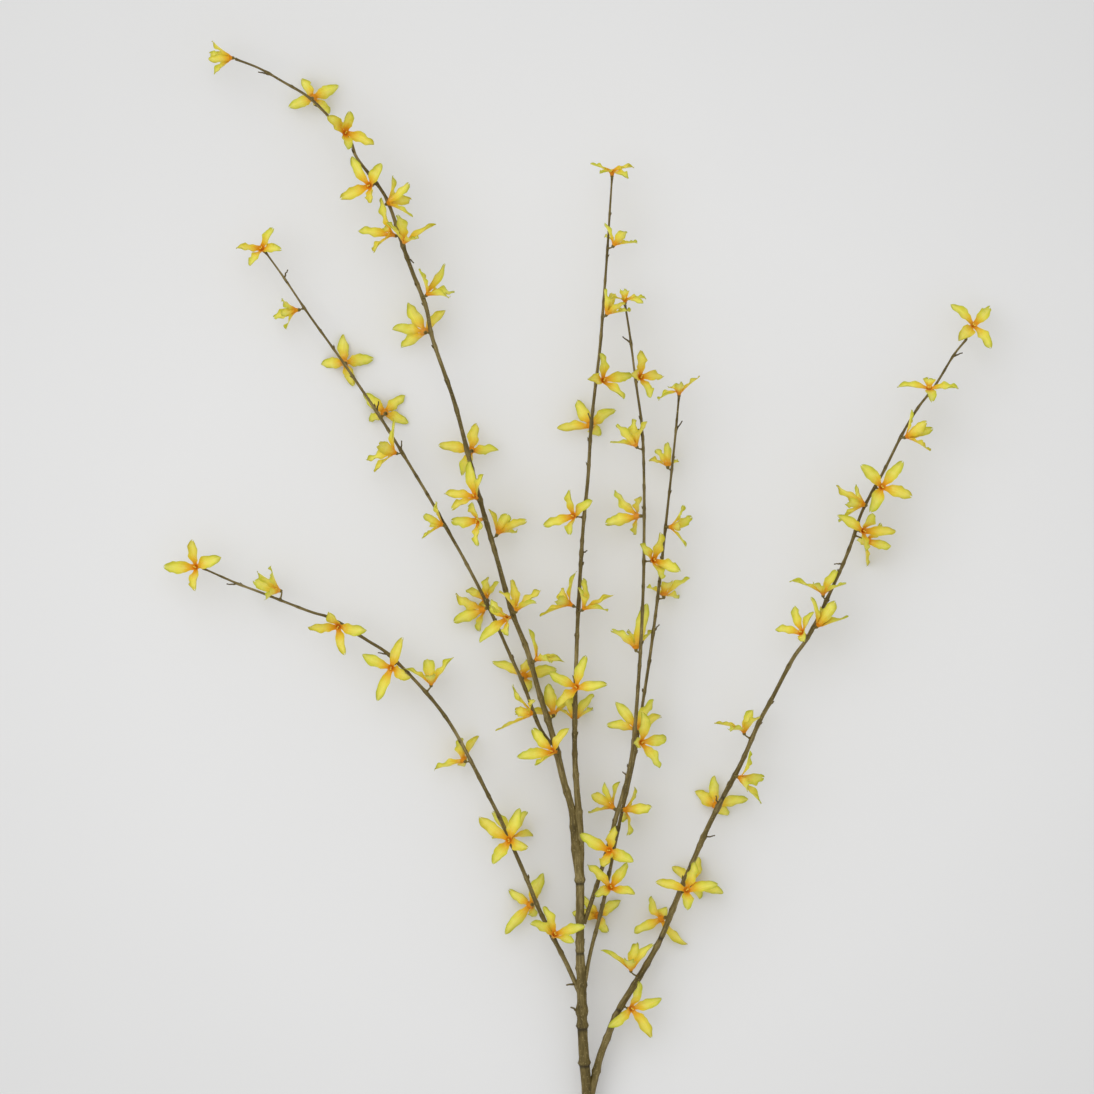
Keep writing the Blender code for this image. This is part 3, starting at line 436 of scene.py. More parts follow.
# Petal colours; a petal's own number makes some greener, some warmer, and shifts its pattern.
THROAT_SHARE = 0.25  # share of the colours that lies behind the petals' bases
PETAL_STOPS = (
    (0.0, (0.6, 0.16, 0.003)), (0.2, (0.77, 0.3, 0.008)), (0.3, (0.82, 0.41, 0.016)),
    (0.42, (0.86, 0.62, 0.04)), (0.58, (0.9, 0.81, 0.11)), (0.82, (0.85, 0.83, 0.11)),
    (1.0, (0.41, 0.44, 0.012)),
)
RIM_COLOUR, RIM_POWER, RIM_GROWTH = (0.36, 0.39, 0.012), 2.4, 1.25
GREEN_COLOUR, GREEN_ABOVE, GREENING = (0.56, 0.62, 0.05), 0.6, 0.35
WARM_COLOUR, WARM_BELOW, WARMING = (0.82, 0.46, 0.02), 0.25, 0.16
OWN_PATTERN = 37.0  # how far the patterns of the lowest and the highest number lie apart
VEIN_SCALE, VEIN_COLOUR = (26.0, 2.2), (0.74, 0.56, 0.1)  # across and along
VEIN_LEVEL, VEIN_STRENGTH = 0.62, 1.4
VEIN_BUMP, VEIN_HEIGHT = 0.7, 0.4 * MM
RIB_COLOUR, RIB_STRENGTH = (0.86, 0.78, 0.24), 0.55
BLOTCH_SCALE, BLOTCH_COLOUR, BLOTCH_STRENGTH = (2.0, 5.0), (0.92, 0.86, 0.33), 0.9
PETAL_SHADER = {
    "Roughness": 0.55, "Specular IOR Level": 0.12, "Subsurface Weight": 0.25,
    "Subsurface Radius": (1.0, 0.7, 0.1), "Subsurface Scale": 1.0 * MM,
}

# Bark colours: dark, middle, light and scarred. Scales are along the grain and twice across it.
STALK_COLOURS = ((0.09, 0.06, 0.015), (0.2, 0.15, 0.03), (0.3, 0.26, 0.06), (0.07, 0.045, 0.015))
BARK_COLOURS = ((0.036, 0.025, 0.005), (0.135, 0.098, 0.026), (0.36, 0.285, 0.12), (0.02, 0.013, 0.005))
BARK_STOPS = (0.3, 0.5, 0.72)
STREAK_SCALE, PATCH_SCALE, PORE_SCALE = (90.0, 900.0, 900.0), (28.0, 120.0, 120.0), (340.0, 520.0, 520.0)
PATCH_SHARE = 0.45
PORE_SIZE, PORE_STRENGTH, PORE_DEPTH = 0.22, 0.45, 0.25
SCAR_STRENGTH = 0.85
BARK_BUMP, BARK_HEIGHT = 0.55, 0.35 * MM
BARK_SHADER = {"Roughness": 0.5, "Specular IOR Level": 0.22}

# Stage.
FLOOR_HALF = 4.0
# The floor's darker stops carry a painted shade: the paper darkens away from its middle where the light
# falls off.
FLOOR_STOPS = ((0.0, (0.8, 0.8, 0.798)), (0.3, (0.785, 0.785, 0.783)), (0.6, (0.71, 0.71, 0.708)))
FLOOR_SCALE, FLOOR_GRAIN, FLOOR_SHADE_FALL = 9.0, 0.04, 0.8
FLOOR_SHADER = {"Roughness": 0.9, "Specular IOR Level": 0.1}
SKY_STRENGTH = 0.75
LAMP_PLACE, LAMP_SIZE, LAMP_POWER = (-1.4, 1.1, 3.2), 4.2, 49.0
CAMERA_PX = (547, 547)
CAMERA_HEIGHT, CAMERA_REACH = 8.0, 20.0
PICTURE_WIDTH = 1094 * PIXEL
PICTURE_LEVEL = 35 * MM  # height at which a picture pixel has its true size
SENSOR = 36.0


def flat(pixel):
    """The place on the surface, in metres, under a pixel."""
    return np.array(((pixel[0] - MIDDLE_PX[0]) * PIXEL, (MIDDLE_PX[1] - pixel[1]) * PIXEL))


def unit(vector):
    return vector / np.linalg.norm(vector)


def spread(values, shares):
    return np.interp(shares, np.linspace(0, 1, len(values)), values)


def lengths_along(line):
    """How far along a line each of its points lies."""
    return np.concatenate(([0], np.cumsum(np.linalg.norm(np.diff(line, axis=0), axis=1))))


def curve(start, bend, end, t):
    """Points on the curve that leaves its start towards a bend and comes to its end from there."""
    return (1 - t) ** 2 * start + 2 * (1 - t) * t * bend + t**2 * end


def eased(share):
    """A share from 0 to 1 that leaves 0 and reaches 1 softly."""
    return share**2 * (3 - 2 * share)


def side_axes(axis):
    """Two directions square to an axis and to each other."""
    helper = np.array((0.0, 0.0, 1.0)) if abs(axis[2]) < 0.9 else np.array((0.0, 1.0, 0.0))
    first = unit(np.cross(helper, axis))
    return first, np.cross(axis, first)


def turned(first, second, angles):
    """Directions at angles round the axis that two side directions belong to."""
    return first * np.cos(angles)[..., None] + second * np.sin(angles)[..., None]


def stem_lines():
    """Axis points and radii of each stem; a foot takes the height of the stem it joins."""
    lines = {}
    for name, stem in STEMS_PX.items():
        plan = np.array([flat(pixel) for pixel in stem["route"]])
        steps = lengths_along(plan)
        shares = steps / steps[-1]
        heights = [height * MM for height in stem["heights"]]
        if stem["joins"]:
            heights.append(closest(lines[stem["joins"]], plan[-1])[0][2])
        axis = np.column_stack((plan, spread(heights, shares)))
        lines[name] = (axis, spread(stem["widths"], shares) * PIXEL / 2)
    return lines


def closest(line, place):
    """The point of a stem's axis nearest to a place, in plan if the place is flat, and the radius there."""
    axis, radii = line
    size = len(place)
    starts, runs = axis[:-1], np.diff(axis, axis=0)
    along = ((place - starts[:, :size]) * runs[:, :size]).sum(1) / (runs[:, :size] ** 2).sum(1)
    along = np.clip(along, 0, 1)
    points = starts + runs * along[:, None]
    best = int(np.argmin(np.linalg.norm(points[:, :size] - place, axis=1)))
    return points[best], radii[best] + (radii[best + 1] - radii[best]) * along[best]


def root_on(line, place):
    """The point of a stem's bark nearest to a place, and the direction in which the bark faces there."""
    point, radius = closest(line, place)
    outward = unit(place - point)
    return point + outward * radius, outward


def seat_blooms(lines):
    """Every bloom with its throat, axis and petal tips, before its petals are bent clear."""
    blooms = []
    for stem, nodes in BLOOMS_PX.items():
        for number, rows in enumerate(nodes):
            for place, row in enumerate(rows):
                reach = SHARED_REACH if len(rows) > 1 else REACH
                blooms.append(seat_bloom(lines[stem], (stem, number, place), row, reach))
    return blooms


def seat_bloom(line, key, row, reach):
    x, y, turn, lift, *tips = row
    turn, lift = math.radians(turn), math.radians(lift)
    axis = np.array((math.cos(turn) * math.cos(lift), math.sin(turn) * math.cos(lift), math.sin(lift)))
    plan = flat((x, y))
    root, radius = closest(line, plan)
    aside = np.linalg.norm(plan - root[:2])
    rise = math.sqrt(max((radius + reach) ** 2 - aside**2, 0.0))
    throat = np.array((*plan, root[2] + math.copysign(rise, lift)))
    room = (throat - root) @ axis - radius - 2 * STALK_RADIUS
    spans = [np.linalg.norm(flat(tip[:2]) - plan) for tip in tips]
    length = min(PETAL_LENGTH, max(SMALLEST_PETAL, LENGTH_OVER_SHOWN * max(spans)))
    bloom = {"key": key, "throat": throat, "axis": axis, "length": length}
    bloom["tube"] = min(TUBE_LENGTH, max(SHORTEST_TUBE, room))
    shown = shown_tips(bloom, tips)
    bloom["tips"] = shown + hidden_tips(bloom, shown)
    bloom["twists"] = twists(bloom)
    return bloom


def shown_tips(bloom, tips):
    """Tips over their pixels; of the two depths that suit a petal's length, the one that opens as usual."""
    places, turn_of_tie = [], 1
    for tip in tips:
        plan = flat(tip[:2])
        span = np.linalg.norm(plan - bloom["throat"][:2])
        depth = math.sqrt(max(bloom["length"] ** 2 - span**2, 0.0))
        options = [np.array((*plan, bloom["throat"][2] + side * depth)) for side in (1, -1)]
        errors = [abs(opening(bloom, option) - OPENING) for option in options]
        if len(tip) > 2:
            best = 0 if tip[2] > 0 else 1
        elif abs(errors[0] - errors[1]) < TIE:
            best = 0 if turn_of_tie > 0 else 1
            turn_of_tie = -turn_of_tie
        else:
            best = int(errors[1] < errors[0])
        places.append(options[best])
    return places


def opening(bloom, tip):
    return math.acos(np.clip(unit(tip - bloom["throat"]) @ bloom["axis"], -1, 1))


def roll(bloom, tip):
    first, second = side_axes(bloom["axis"])
    away = tip - bloom["throat"]
    return math.atan2(away @ second, away @ first) % (2 * math.pi)


def hidden_tips(bloom, shown):
    """The petals that don't show, spaced evenly in the wide gaps between those that do."""
    rolls = sorted(roll(bloom, place) for place in shown)
    missing = PETALS - len(rolls)
    first, second = side_axes(bloom["axis"])
    added = []
    following = rolls[1:] + [rolls[0] + 2 * math.pi]
    gaps = [(end - start, start) for start, end in zip(rolls, following)]
    for gap, start in sorted(gaps, reverse=True):
        fill = min(missing, max(1, round(gap / (math.pi / 2)) - 1))
        for step in range(fill):
            side = turned(first, second, start + gap * (step + 1) / (fill + 1))
            away = bloom["axis"] * math.cos(OPENING) + side * math.sin(OPENING)
            added.append(bloom["throat"] + away * bloom["length"])
        missing -= fill
        if missing <= 0:
            break
    return added


def bloom_word(bloom):
    return "-".join(str(part) for part in bloom["key"])


def twists(bloom):
    draw = random.Random(bloom_word(bloom))
    return [draw.uniform(-MOST_TWIST, MOST_TWIST) for _ in range(PETALS)]


def petal_axes(bloom, tip, radius):
    """Where a petal leaves a ring round the throat, where it bends, and its side and inward directions."""
    axis, throat = bloom["axis"], bloom["throat"]
    away = tip - throat
    radial = unit(away - axis * (away @ axis) + 1e-9)
    start = throat + radial * radius
    wide = unit(np.cross(axis, radial))
    inward = np.cross(unit(tip - start), wide)
    bend = start + (tip - start) * BEND_SHARE + axis * PETAL_FLARE * bloom["length"]
    return start, bend, wide, inward


def twisted(wide, inward, angles):
    """The side and inward directions turned about a petal's length."""
    cos, sin = np.cos(angles), np.sin(angles)
    return wide * cos + inward * sin, inward * cos - wide * sin


def lowest_of(bloom, petal):
    return 0.0 if (*bloom["key"], petal) in RESTING_PETALS else FLOOR_CLEARANCE


def samples(bloom, petal, tip):
    """Points spread over a petal with this tip."""
    start, bend, wide, inward = petal_axes(bloom, tip, THROAT_RADIUS)
    t, s = TEST_SHARES[:, None, None], TEST_ACROSS[None, :, None]
    half = np.interp(t, *zip(*HALF_WIDTHS)) * bloom["length"] / PETAL_LENGTH
    wide, inward = twisted(wide, inward, bloom["twists"][petal] * t**2)
    points = curve(start, bend, tip, t) + wide * s * half + inward * PETAL_CHANNEL * half * s**2
    points[..., 2] = np.maximum(points[..., 2], lowest_of(bloom, petal))
    return points.reshape(-1, 3)


def stem_runs(lines):
    """The straight runs of all stems: starts, vectors and radii."""
    starts = np.concatenate([axis[:-1] for axis, _ in lines.values()])
    runs = np.concatenate([np.diff(axis, axis=0) for axis, _ in lines.values()])
    thick = np.concatenate([np.maximum(radii[:-1], radii[1:]) for _, radii in lines.values()])
    return starts, runs, thick


def bend_clear(blooms, lines):
    """Bends each petal, in depth first, until it is clear of stems, tubes and other petals."""
    stems = stem_runs(lines)
    for bloom in blooms:
        bloom["first_tips"] = [tip.copy() for tip in bloom["tips"]]
        for petal, tip in enumerate(bloom["tips"]):
            if (*bloom["key"], petal) in RESTING_PETALS:
                tip[2] = 0.0
            tip[2] = max(tip[2], lowest_of(bloom, petal))
        bloom["samples"] = [samples(bloom, petal, tip) for petal, tip in enumerate(bloom["tips"])]
        base = bloom["throat"] - bloom["axis"] * bloom["tube"]
        bloom["tube_points"] = np.linspace(bloom["throat"], base, TUBE_POINTS)
    for _ in range(ROUNDS):
        for bloom in blooms:
            near = neighbours(blooms, bloom["throat"])
            for petal in range(PETALS):
                if (*bloom["key"], petal) in RESTING_PETALS:
                    continue
                clear_petal(bloom, petal, near, stems)


def neighbours(blooms, place):
    return [other for other in blooms if np.linalg.norm(other["throat"] - place) < NEIGHBOURHOOD]


def clear_petal(bloom, petal, near, stems):
    others = [other for other in near if other is not bloom]
    crowd = [sheet for other in others for sheet in other["samples"]]
    skipped = len(TEST_ACROSS) * ROWS_AT_THROAT
    crowd += [bloom["samples"][k][skipped:] for k in range(PETALS) if k != petal]
    crowd = np.concatenate(crowd)
    tubes = np.concatenate([other["tube_points"] for other in others] or [np.zeros((0, 3))])
    best_cost, best_tip = math.inf, None
    for turn, step in BENDS:
        tip = moved_tip(bloom, petal, turn, step)
        cost = petal_cost(bloom, petal, tip, crowd, tubes, stems)
        cost += DEPTH_COST * abs(step) + TURN_COST * abs(turn)
        if cost < best_cost:
            best_cost, best_tip = cost, tip
        if best_cost < CLEAR_COST:
            break
    bloom["tips"][petal] = best_tip
    bloom["samples"][petal] = samples(bloom, petal, best_tip)


def moved_tip(bloom, petal, turn, step):
    away = bloom["first_tips"][petal] - bloom["throat"]
    cos, sin = math.cos(math.radians(turn)), math.sin(math.radians(turn))
    away = np.array((away[0] * cos - away[1] * sin, away[0] * sin + away[1] * cos, away[2] + step * MM))
    tip = bloom["throat"] + away
    tip[2] = max(tip[2], FLOOR_CLEARANCE)
    return tip


def petal_cost(bloom, petal, tip, crowd, tubes, stems):
    """Millimetres by which the petal comes too near to things, plus what its shape strains."""
    points = samples(bloom, petal, tip)
    cost = shortfall(points, crowd, PETAL_GAP)
    if len(tubes):
        cost += shortfall(points, tubes, TUBE_GAP)
    cost += stem_shortfall(points, *stems)
    length = np.linalg.norm(tip - bloom["throat"]) / MM
    cost += LENGTH_COST * outside(length, LENGTHS)
    cost += OPENING_COST * outside(math.degrees(opening(bloom, tip)), OPENINGS)
    for other in range(PETALS):
        if other != petal:
            apart = abs(roll(bloom, tip) - roll(bloom, bloom["tips"][other]))
            apart = math.degrees(min(apart, 2 * math.pi - apart))
            cost += ROLL_COST * max(0.0, LEAST_ROLL - apart)
    return cost


def outside(value, limits):
    return max(0.0, limits[0] - value, value - limits[1])


def shortfall(points, others, gap):
    """The sum, in millimetres, of what the points' distances to other points miss of a gap."""
    close = others[(np.abs(others - points.mean(0)) < PETAL_ROOM).all(1)]
    if not len(close):
        return 0.0
    squares = ((points[:, None, :] - close[None, :, :]) ** 2).sum(2)
    return float(np.maximum(gap - np.sqrt(squares.min(1)), 0).sum() / MM)


def stem_shortfall(points, starts, runs, thick):
    away = points[:, None, :] - starts[None]
    along = np.clip((away * runs).sum(2) / (runs**2).sum(1), 0, 1)
    gaps = np.linalg.norm(away - runs * along[..., None], axis=2) - thick
    return float(STEM_COST * np.maximum(STEM_GAP - gaps.min(1), 0).sum() / MM)


def marks_of(*numbers):
    """Three numbers for each point of a grid, from three numbers or arrays of them."""
    return np.stack(np.broadcast_arrays(*numbers), axis=-1)


class Shape:
    """Grids of points gathered into one mesh.

    A point's mark is three numbers. On a petal they are its share of the length,
    its share of the width and the petal's own number. On bark and stalks the
    first is how dark the place is, and the others aren't read. Its grain is a
    place along and round the bark.
    """

    def __init__(self):
        self.points, self.marks, self.grains, self.faces, self.slots = [], [], [], [], []
        self.count = 0

    def grid(self, points, marks, slot, grains=None, around=False, flip=False):
        rows, columns = points.shape[:2]
        index = np.arange(rows * columns).reshape(rows, columns) + self.count
        if around:
            index = np.concatenate((index, index[:, :1]), axis=1)
        corners = [index[:-1, :-1], index[:-1, 1:], index[1:, 1:], index[1:, :-1]]
        if flip:
            corners.reverse()
        quads = np.stack(corners, axis=-1).reshape(-1, 4)
        self.points.append(points.reshape(-1, 3))
        self.marks.append(np.broadcast_to(marks, (rows, columns, 3)).reshape(-1, 3))
        self.grains.append(np.zeros((rows * columns, 3)) if grains is None else grains.reshape(-1, 3))
        self.faces.append(quads)
        self.slots.append(np.full(len(quads), slot))
        self.count += rows * columns

    def object(self, name, materials):
        points = np.concatenate(self.points)
        points[:, 2] = np.maximum(points[:, 2], 0.0)
        faces = np.concatenate(self.faces)
        marks = np.concatenate(self.marks)
        mesh = bpy.data.meshes.new(name)
        mesh.vertices.add(len(points))
        mesh.vertices.foreach_set("co", points.astype(np.float32).ravel())
        mesh.loops.add(faces.size)
        mesh.loops.foreach_set("vertex_index", faces.ravel().astype(np.int32))
        mesh.polygons.add(len(faces))
        mesh.polygons.foreach_set("loop_start", np.arange(0, faces.size, 4, dtype=np.int32))
        for material in materials:
            mesh.materials.append(material)
        mesh.update(calc_edges=True)
        mesh.polygons.foreach_set("material_index", np.concatenate(self.slots).astype(np.int32))
        colours = np.column_stack((marks, np.ones(len(marks))))
        held = mesh.attributes.new("mark", "FLOAT_COLOR", "POINT")
        held.data.foreach_set("color", colours.astype(np.float32).ravel())
        held = mesh.attributes.new("grain", "FLOAT_VECTOR", "POINT")
        held.data.foreach_set("vector", np.concatenate(self.grains).astype(np.float32).ravel())
        mesh.validate()
        mesh.shade_smooth()
        return placed(name, mesh)


def placed(name, data):
    made = bpy.data.objects.new(name, data)
    bpy.context.scene.collection.objects.link(made)
    return made


def tube(shape, line, radii, sides, slot, mark, start=0.0, bumps=1.0):
    """A tube with closed ends along points, and grain laid along it from a start."""
    runs = np.gradient(line, axis=0)
    runs /= np.linalg.norm(runs, axis=1)[:, None]
    side, _ = side_axes(runs[0])
    sides_at = []
    for run in runs:
        side = unit(side - run * (side @ run))
        sides_at.append(side)
    sides_at = np.array(sides_at)
    angles = np.linspace(0, 2 * math.pi, sides, endpoint=False)
    spokes = turned(sides_at[:, None], np.cross(runs, sides_at)[:, None], angles[None])
    radii = np.broadcast_to(radii, len(line))[:, None] * np.ones(sides) * bumps
    points = line[:, None] + spokes * radii[..., None]
    along = np.broadcast_to((start + lengths_along(line))[:, None], radii.shape)
    grains = np.stack((along, radii * np.cos(angles), radii * np.sin(angles)), axis=-1)
    marks = np.broadcast_to(mark, (len(line), 3))[:, None] * np.ones((1, sides, 1))
    caps = [np.repeat(line[end][None], sides, 0)[None] for end in (0, -1)]
    points = np.concatenate((caps[0], points, caps[1]))
    grains = np.concatenate((grains[:1] * (1, 0, 0), grains, grains[-1:] * (1, 0, 0)))
    marks = np.concatenate((marks[:1], marks, marks[-1:]))
    shape.grid(points, marks, slot, grains, around=True)


def ball(shape, place, radii, axis, slot, mark):
    """An egg-like body; the last of its three radii lies along its axis."""
    turns = np.linspace(0, math.pi, BALL_ROWS)
    angles = np.linspace(0, 2 * math.pi, BALL_SIDES, endpoint=False)
    first, second = side_axes(axis)
    ring = turned(first * radii[0], second * radii[1], angles)
    points = place + np.sin(turns)[:, None, None] * ring - axis * radii[2] * np.cos(turns)[:, None, None]
    shape.grid(points, mark, slot, points - place, around=True)


def smooth_line(axis, radii, step):
    """Points about a step apart on a curve through a stem's route points, and their radii."""
    padded = np.concatenate((2 * axis[:1] - axis[1:2], axis, 2 * axis[-1:] - axis[-2:-1]))
    points, widths = [], []
    for i in range(len(axis) - 1):
        before, here, there, after = padded[i:i + 4]
        count = max(1, round(np.linalg.norm(there - here) / step))
        t = np.arange(count)[:, None] / count
        slope = there - before
        square = 2 * before - 5 * here + 4 * there - after
        cube = 3 * here - before - 3 * there + after
        points.append(0.5 * (2 * here + slope * t + square * t**2 + cube * t**3))
        widths.append(radii[i] + (radii[i + 1] - radii[i]) * t[:, 0])
    return np.concatenate(points + [axis[-1:]]), np.concatenate(widths + [radii[-1:]])


def swellings(line, places, size, length):
    """A bump along a line near each place, from 0 to size."""
    total = np.zeros(len(line))
    for place in places:
        away = np.linalg.norm(line - place, axis=1)
        total = np.maximum(total, size * np.exp(-((away / length) ** 2)))
    return total


def make_wood(lines, feet, bark):
    """Every stem with its swollen nodes, buds and ring scars, and the bud stubs."""
    draw = np.random.default_rng(WOOD_SEED)
    shape = Shape()
    stubs = [(stem, closest(lines[stem], flat(root))[0], tip) for stem, root, tip in STUBS_PX]
    for number, (name, (axis, radii)) in enumerate(lines.items()):
        if name in LONG_FEET_PX:
            axis, radii = with_long_foot(name, axis, radii, lines["trunk"])
        line, widths = smooth_line(axis, radii, RING_STEP)
        nodes = [place for stem, place in feet if stem == name]
        nodes += [place for stem, place, _ in stubs if stem == name]
        knobs = knob_places(line, draw)
        scars, collars = ring_joints(name, line)
        scale = 1 + swellings(line, nodes, SWELLING, SWELLING_LENGTH)
        scale += swellings(line, [line[k] for k in knobs], KNOB_SWELLING, SWELLING_LENGTH)
        wander = 1 + WANDER * (draw.random((len(line), STEM_SIDES)) - 0.5)
        if name == "trunk":
            widths = widths * grown(line, TRUNK_GROWTH, TRUNK_START)
        coarse = draw.random(len(line) // WAVE_RINGS + 2)
        waves = np.interp(np.arange(len(line)), WAVE_RINGS * np.arange(len(coarse)), coarse)
        scale = (scale + WAVE * (waves - 0.5) + collars - RING_GROOVE * scars)[:, None] * wander
        marks = marks_of(scars, 0.5, 0.5)
        tube(shape, line, widths, STEM_SIDES, BARK_SLOT, marks, number * GRAIN_SHIFT, scale)
        for k in knobs:
            add_knob(shape, line, widths, k, draw)
    for stem, root, tip_px in stubs:
        add_stub(shape, stem, root, np.array((*flat(tip_px), root[2] + STUB_RISE)), draw)
    return shape.object("branch_wood", [bark])


def ring_joints(name, line):
    """The ring scars along a stem, and the collar above each."""
    rings = [line[np.argmin(np.abs(line[:, 1] - flat((0, y))[1]))] for y in RINGS_PX.get(name, ())]
    scars = swellings(line, rings, 1.0, RING_LENGTH)
    collars = swellings(line, [ring + (0, COLLAR_AWAY, 0) for ring in rings], COLLAR, COLLAR_LENGTH)
    return scars, collars


def with_long_foot(name, axis, radii, trunk):
    plan = [flat(pixel) for pixel in LONG_FEET_PX[name]]
    foot = np.array([(*place, closest(trunk, place)[0][2]) for place in plan])
    foot_radii = np.array(LONG_FOOT_WIDTHS) * PIXEL / 2
    return np.concatenate((axis[:-1], foot)), np.concatenate((radii[:-1], foot_radii))


def grown(line, length, least):
    """A factor along a line that grows from least to 1 over a length."""
    return least + (1 - least) * eased(np.clip(lengths_along(line) / length, 0, 1))


def knob_places(line, draw):
    steps = lengths_along(line)
    places, at = [], draw.uniform(*KNOB_SPACING)
    while at < steps[-1] - KNOB_SPACING[0]:
        places.append(int(np.argmin(np.abs(steps - at))))
        at += draw.uniform(*KNOB_SPACING)
    return places


def add_knob(shape, line, widths, k, draw):
    """A small sharp bud at a node, pointing towards the stem's tip."""
    run = unit(line[max(k - 1, 0)] - line[k + 1])
    side = turned(*side_axes(run), draw.uniform(0, 2 * math.pi))
    lean = unit(run + KNOB_LEAN * side)
    place = line[k] + side * widths[k] * KNOB_SEAT
    length = draw.uniform(*KNOB_LENGTH)
    points = place + lean * length * np.array(KNOB_POINTS)[:, None]
    radius = draw.uniform(*KNOB_RADII) * min(1.0, widths[k] / KNOB_FULL)
    tube(shape, points, radius * np.array(KNOB_SHAPE), BUD_SIDES, BARK_SLOT, (KNOB_DARK, 0.5, draw.random()))


def add_stub(shape, stem, root, tip, draw):
    """A dead twiglet from a stem's axis to its tip, a little crooked, with a bud at its end."""
    line = root + (tip - root) * np.linspace(0, 1, STUB_POINTS)[:, None]
    line[1:] += draw.normal(0, STUB_CROOK, (STUB_POINTS - 1, 3))
    thick = STUB_RADII[1] if stem == "trunk" else STUB_RADII[0]
    radii = np.linspace(thick, thick * STUB_TAPER, STUB_POINTS)
    tube(shape, line, radii, BUD_SIDES, BARK_SLOT, (STUB_DARK, 0.5, draw.random()), draw.random())
    ball(shape, line[-1], STUB_BUD, unit(tip - root), BARK_SLOT, (STUB_BUD_DARK, 0.5, 0.5))


def petal_grid(bloom, petal, left, right, draw):
    """Inner points of a petal from the throat's ring to its tip, with its marks."""
    tip, throat = bloom["tips"][petal], bloom["throat"]
    first, second = side_axes(bloom["axis"])
    start, bend, wide, inward = petal_axes(bloom, tip, CUP_RADIUS)
    s = np.linspace(-1, 1, PETAL_COLUMNS)[None, :, None]
    shares = np.linspace(0, 1, PETAL_ROWS) ** ROW_SPACING
    t = shares[:, None, None]
    t = t * (1 - draw.uniform(*NOTCH) * np.exp(-((s / NOTCH_WIDTH) ** 2)) * t**4)
    middle = curve(start, bend, tip, t)
    middle = middle + inward * draw.uniform(-CURL, CURL) * t**3
    size = bloom["length"] / PETAL_LENGTH * draw.uniform(*WIDTH_CHANGE)
    half = np.interp(t, *zip(*FINE_HALF_WIDTHS)) * size
    edges = draw.uniform(-EDGE_CHANGE, EDGE_CHANGE, (2, PETAL_ROWS // 2 + 1))
    edges = [spread(side, shares)[:, None, None] for side in edges]
    half = half * (1 + np.where(s < 0, *edges) * np.minimum(1, EDGE_GROWTH * t))
    wide, inward = twisted(wide, inward, bloom["twists"][petal] * t**2)
    waves, phases = draw.uniform(*RUFFLE_WAVES, 2), draw.uniform(0, 2 * math.pi, 2)
    turns = 2 * math.pi * np.where(s < 0, *waves) * t + np.where(s < 0, *phases)
    ruffle = draw.uniform(*RUFFLE) * s**2 * np.sin(turns) * np.minimum(1, RUFFLE_GROWTH * t)
    groove = MIDRIB * np.exp(-((s / MIDRIB_WIDTH) ** 2)) * np.sin(math.pi * t)
    sheet = wide * s * half + inward * (FOLD * half * s**2 + ruffle - groove)
    angles = np.interp(s[0, :, 0], (-1, 0, 1), (left, (left + right) / 2, right))
    ring = (turned(first, second, angles) * CUP_RADIUS)[None] + throat - start
    share = eased(np.clip(t / BASE_BLEND, 0, 1))
    points = middle + ring * (1 - share) + sheet * share
    points[..., 2] = np.maximum(points[..., 2], lowest_of(bloom, petal))
    return points, marks_of(t[..., 0], s[..., 0] * 0.5 + 0.5, draw.random())


def grid_normals(points, axis):
    normals = np.cross(np.gradient(points, axis=0), np.gradient(points, axis=1))
    lengths = np.linalg.norm(normals, axis=2, keepdims=True)
    normals = normals / np.maximum(lengths, 1e-12)
    return -normals if (normals[2] @ axis).mean() < 0 else normals


def petal_back(points, axis):
    """The outer face of a petal, which is thickest at the midrib and thin at the edges and tip."""
    edge = np.sqrt(np.clip(1 - np.linspace(-1, 1, PETAL_COLUMNS) ** 2, 0, 1))[None, :, None]
    fade = np.clip((1 - np.linspace(0, 1, PETAL_ROWS)) * TIP_THINNING, 0, 1)[:, None, None]
    return points - grid_normals(points, axis) * PETAL_SKIN * edge * fade


def rings_round(bloom, start, way, rings):
    """Rings round a bloom's axis: shares of a way along it from a start, and radii in millimetres."""
    first, second = side_axes(bloom["axis"])
    spokes = turned(first, second, RING_ANGLES)
    return np.array([start + bloom["axis"] * share * way + radius * MM * spokes for share, radius in rings])


def add_bloom(shape, bloom, stalk_line):
    draw = np.random.default_rng(zlib.crc32(bloom_word(bloom).encode()))
    axis, throat, length = bloom["axis"], bloom["throat"], bloom["tube"]
    order = sorted(range(PETALS), key=lambda k: roll(bloom, bloom["tips"][k]))
    rolls = [roll(bloom, bloom["tips"][k]) for k in order]
    after = rolls[1:] + [rolls[0] + 2 * math.pi]
    between = [(here + there) / 2 for here, there in zip(rolls, after)]
    before = [between[-1] - 2 * math.pi] + between[:-1]
    fresh = draw.random()
    for petal, left, right in zip(order, before, between):
        points, marks = petal_grid(bloom, petal, left, right, draw)
        shape.grid(points, marks, PETAL_SLOT)
        shape.grid(petal_back(points, axis), marks, PETAL_SLOT, flip=True)
    depth = np.array([share for share, _ in FUNNEL_RINGS])
    funnel = rings_round(bloom, throat, -length, FUNNEL_RINGS)
    shape.grid(funnel, marks_of(-depth, 0.5, fresh)[:, None], PETAL_SLOT, around=True)
    outer = rings_round(bloom, throat - axis * TUBE_WALL, -length, TUBE_RINGS)
    shape.grid(outer, (TUBE_MARK, 0.5, fresh), PETAL_SLOT, around=True)
    add_calyx(shape, bloom, fresh)
    add_stamens(shape, bloom, draw)
    radii = spread(STALK_RADII, np.linspace(0, 1, len(stalk_line)))
    tube(shape, stalk_line, radii, STALK_SIDES, GREEN_SLOT, (STALK_DARK, 0.5, fresh))


